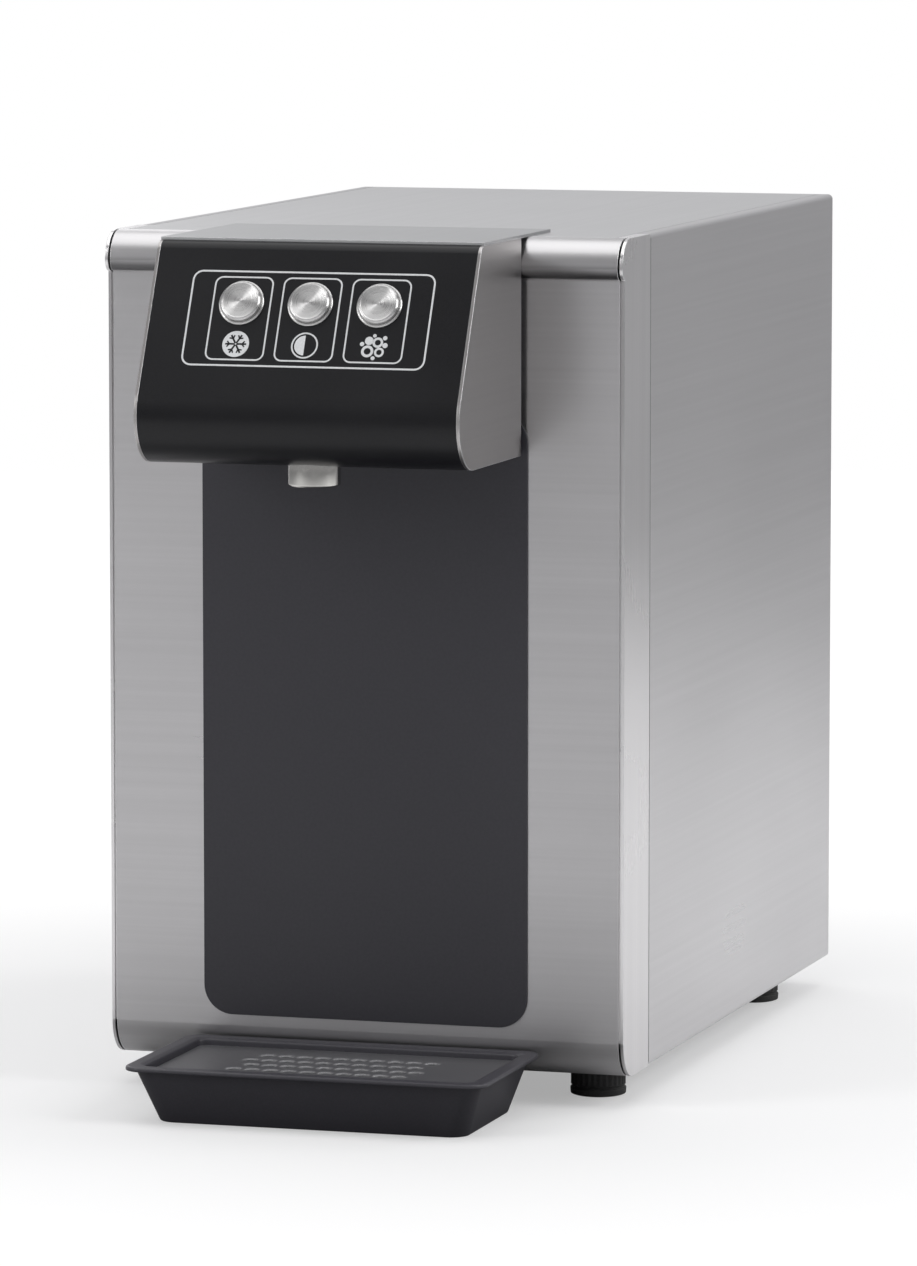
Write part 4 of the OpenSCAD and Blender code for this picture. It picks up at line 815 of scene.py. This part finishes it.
low, high = [np.array(v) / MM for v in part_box("drip_tray")]
plate_low, plate_high = [np.array(v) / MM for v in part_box("tray_grille")]
half, front, back, rim = high[0], low[1], high[1], high[2]
taper, lip, seat_gap, plate_mid = 13.0, 4.0, 0.4, (plate_low[1] + plate_high[1]) / 2
seat_x, seat_y = plate_high[0] + seat_gap, (plate_high[1] - plate_low[1]) / 2 + seat_gap
skin = [(0, plate_mid, plate_mid, 0, 0), (half - taper - 6, front + taper + 6, back - 14, 6, 0),
        (half - taper, front + taper, back - 8, 9, 0.0),
        (half - lip, front + lip, back - lip, 9, rim - 2.6), (half, front, back, 9, rim - 2.2),
        (half, front, back, 9, rim - 0.5), (half - 0.8, front + 0.8, back - 0.8, 8.4, rim),
        (seat_x + 2.6, plate_mid - seat_y - 2.6, plate_mid + seat_y + 2.6, 6.5, rim),
        (seat_x, plate_mid - seat_y, plate_mid + seat_y, 4.9, rim - 0.9),
        (seat_x, plate_mid - seat_y, plate_mid + seat_y, 4.9, plate_low[2]),
        (seat_x - 4.4, plate_mid - seat_y + 4.4, plate_mid + seat_y - 4.4, 7, plate_low[2]),
        (half - taper - 3.4, front + taper + 3.4, back - 11.4, 7, 3.6),
        (half - taper - 5.4, front + taper + 5.4, back - 13.4, 6, 2), (0, plate_mid, plate_mid, 0, 2)]
put_piece("moulded_drip_tray", [loft(skin, 1.1)], tray_black, "drip_tray",
          ("drip_tray",), 50)

# %% [markdown]
# ## Grille with dished holes
# Forty staggered holes drain the plate. Around each hole the plate is one cell: rings that start
# on the cell's rectangle, become a circle, dip over a small countersink and run down the wall.
# All cells are computed in one array, because only their centres differ.

# %% Grille
rows_of_holes, holes_a_row, hole_pitch, row_pitch, hole_r = 4, 10, 9.2, 13.0, 3.3
corner = math.atan2(row_pitch, hole_pitch)
stops = np.array([-corner, corner, np.pi - corner, np.pi + corner, 2 * np.pi - corner])
around = np.concatenate([np.linspace(stops[i], stops[i + 1], 9)[:-1] for i in range(4)] + [stops[-1:]])
ray = np.stack([np.cos(around), np.sin(around)], -1)
to_border = 1 / np.maximum(np.abs(ray[:, 0]) / (hole_pitch / 2), np.abs(ray[:, 1]) / (row_pitch / 2))
radii = [to_border, hole_r + 0.65 + 0 * around, hole_r + 0.35 + 0 * around, hole_r + 0.08 + 0 * around,
         hole_r + 0 * around, hole_r + 0 * around, to_border]
top, bottom = plate_high[2], plate_low[2]
levels = np.array([top, top, top - 0.1, top - 0.34, top - 0.6, bottom, bottom])
cell = np.stack([r[:, None] * ray for r in radii])
columns, lines = np.meshgrid(np.arange(holes_a_row), np.arange(rows_of_holes))
hole_x = (columns - (holes_a_row - 1) / 2 + (lines % 2 - 0.5) / 2) * hole_pitch
hole_y = plate_mid + (lines - (rows_of_holes - 1) / 2) * row_pitch
cells = [np.concatenate([cell + [x, y], levels[:, None, None] + 0 * cell[..., :1]], -1)
         for x, y in zip(hole_x.ravel(), hole_y.ravel())]
grids = [(MM * c, MM * c[..., :2]) for c in cells]

inner_x, inner_y = 48.3, rows_of_holes * row_pitch / 2
plate_rows = [(inner_x, plate_mid - inner_y, plate_mid + inner_y, 0.0, bottom),
              (plate_high[0], plate_low[1], plate_high[1], 4.5, bottom),
              (plate_high[0], plate_low[1], plate_high[1], 4.5, top - 0.6),
              (plate_high[0] - 0.7, plate_low[1] + 0.7, plate_high[1] - 0.7, 4.0, top),
              (inner_x, plate_mid - inner_y, plate_mid + inner_y, 0.0, top)]
grids.append(loft(plate_rows, 0.3))
for line in range(rows_of_holes):
    left_end, right_end = hole_x[line, 0] - hole_pitch / 2, hole_x[line, -1] + hole_pitch / 2
    for x0, x1 in ((-inner_x, left_end), (right_end, inner_x)):
        if x1 - x0 > 0.01:
            y0 = hole_y[line, 0] - row_pitch / 2
            for level, ends in ((top, (x0, x1)), (bottom, (x1, x0))):
                xs, ys = np.meshgrid(ends, [y0, y0 + row_pitch])
                patch = np.stack([xs, ys, level + 0 * xs], -1) * MM
                grids.append((patch, patch[..., :2]))
put_piece("slotted_grille", grids, grille_black, "tray_grille", ("tray_grille",),
          50, False)

# %% [markdown]
# ## Levelling feet
# A levelling foot is a rubber-shod knob on a threaded stud. The knob's grip is a ripple of the
# radius with the angle, and the thread is a ripple of the radius with height plus angle, so it
# climbs one pitch each turn, as a real thread does.

# %% Feet
def grip(radius, height, turn):
    """Vertical ribs: the radius drops in 28 shallow flutes between two heights."""
    held = ((height > 5.4) & (height < 13.4) & (radius > 12)).astype(float)
    return radius - held * 0.55 * (0.5 + 0.5 * np.cos(28 * turn)), height


def thread(radius, height, turn):
    """A helix of pitch 1.25: the radius ripples with height and angle together."""
    held = ((height > 15.2) & (height < 27.4) & (radius > 3)).astype(float)
    return radius - held * 0.32 * (0.5 + 0.5 * np.cos(2 * np.pi * height / 1.25 - turn)), height


for corner_name in ("front_left", "front_right", "rear_left", "rear_right"):
    node = corner_name + "_foot"
    low, high = [np.array(v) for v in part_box(node)]
    stand = np.array([(low[0] + high[0]) / 2, (low[1] + high[1]) / 2, 0.0])
    wide, tall = (high[0] - low[0]) / 2 / MM, high[2] / MM
    knob = [(0, 0), (wide - 2.4, 0), (wide - 0.5, 0.6), (wide - 0.3, 3.6), (wide - 1.5, 4.4),
            (wide - 0.6, 5.2), (wide - 0.6, 5.5), (wide - 0.6, 9), (wide - 0.6, 13.3),
            (wide - 1.6, 14.7), (4.1, 14.7), (0, 14.7)]
    stud_heights = np.linspace(14.6, tall - 0.9, 100)
    stud = np.stack([4.0 + 0 * stud_heights, stud_heights], -1)
    stud = np.concatenate([[(0, 14.6)], stud, [(3.2, tall), (0, tall)]])
    put_piece(node + "_knob", [spun(ease(knob, 0.5), stand, (0, 0, 1), 168, grip)], foot_rubber,
              node, (node,), 60)
    put_piece(node + "_stud", [spun(stud, stand, (0, 0, 1), 48, thread)], screw_steel,
              node, (), 60)

# %% [markdown]
# ## Screws and hose fittings on the back
# Pan-head screws have a cross recess. Seen from above, a cross is where the smaller of |x| and
# |y| is small, so lowering the dome there presses the recess into it. The hose fittings are
# push-fit: a body with a knurled nut, and inside its mouth a loose grey collet ring.

# %% Screws
def cross_recess(radius, height, turn):
    """The head sinks by up to 1.1 mm where min(|x|, |y|) is below about 0.5 mm near the middle."""
    x, y = np.abs(radius * np.cos(turn)), np.abs(radius * np.sin(turn))
    arm = np.clip((0.62 - np.minimum(x, y)) / 0.25, 0, 1)
    reach = np.clip((2.2 - radius) / 0.35, 0, 1)
    head = (height > 1.0).astype(float)
    return radius, height - head * 1.1 * arm * reach


low, high = [np.array(v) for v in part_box("rear_screws")]
head_r = 4.0
columns_x = (low[0] + head_r * MM, high[0] - head_r * MM)
rows_z = np.linspace(low[2] + head_r * MM, high[2] - head_r * MM, 4)
panel_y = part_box("rear_panel")[1][1]
dome_r = np.linspace(3.7, 0, 40)
dome = np.stack([dome_r, 1.5 + 0.7 * np.sqrt(1 - (dome_r / 3.75) ** 2)], -1)
profile = np.concatenate([[(0, -1.2), (2, -1.2), (2, 0), (3.8, 0), (head_r, 0.3), (head_r, 1.0)], dome])
places = [np.array([x, panel_y, z]) for x in columns_x for z in rows_z]
put_piece("pan_head_screws", [spun(profile, p, (0, 1, 0), 72, cross_recess) for p in places],
          screw_steel, "casing", ("rear_screws",), 45)

# %% Hose fittings
def knurl(radius, height, turn):
    """Grip ribs on the nut only."""
    held = ((radius > 11.2) & (height > 0.8) & (height < 4.2)).astype(float)
    return radius - held * 0.5 * (0.5 + 0.5 * np.cos(24 * turn)), height


low, high = [np.array(v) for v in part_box("inlet_fittings")]
mouth = (high[1] - panel_y) / MM
inlet_z = (low[2] + high[2]) / 2
inside = (low[1] - panel_y) / MM
hose_r = 3.2
body = [(hose_r, inside), (9, inside), (9, 0), (12, 0), (12, 0.7), (12, 4.3), (11.4, 5), (9, 5),
        (9, mouth - 1), (8.2, mouth - 0.2), (6.2, mouth - 0.2), (6.2, mouth - 3),
        (hose_r, mouth - 3), (hose_r, inside)]
collet = [(hose_r, mouth - 2.9), (5.9, mouth - 2.9), (5.9, mouth - 0.7), (5.6, mouth),
          (hose_r + 0.5, mouth), (hose_r, mouth - 0.4), (hose_r, mouth - 2.9)]
inlet_xs = (high[0] - 0.012, low[0] + 0.012)
put_piece("hose_fitting_bodies",
          [spun(ease(body, 0.3), (x, panel_y, inlet_z), (0, 1, 0), 144, knurl) for x in inlet_xs],
          moulded_black, "casing", ("inlet_fittings",), 50)
put_piece("hose_fitting_collets",
          [spun(ease(collet, 0.25), (x, panel_y, inlet_z), (0, 1, 0), 64) for x in inlet_xs],
          moulded_grey, "casing", (), 50)
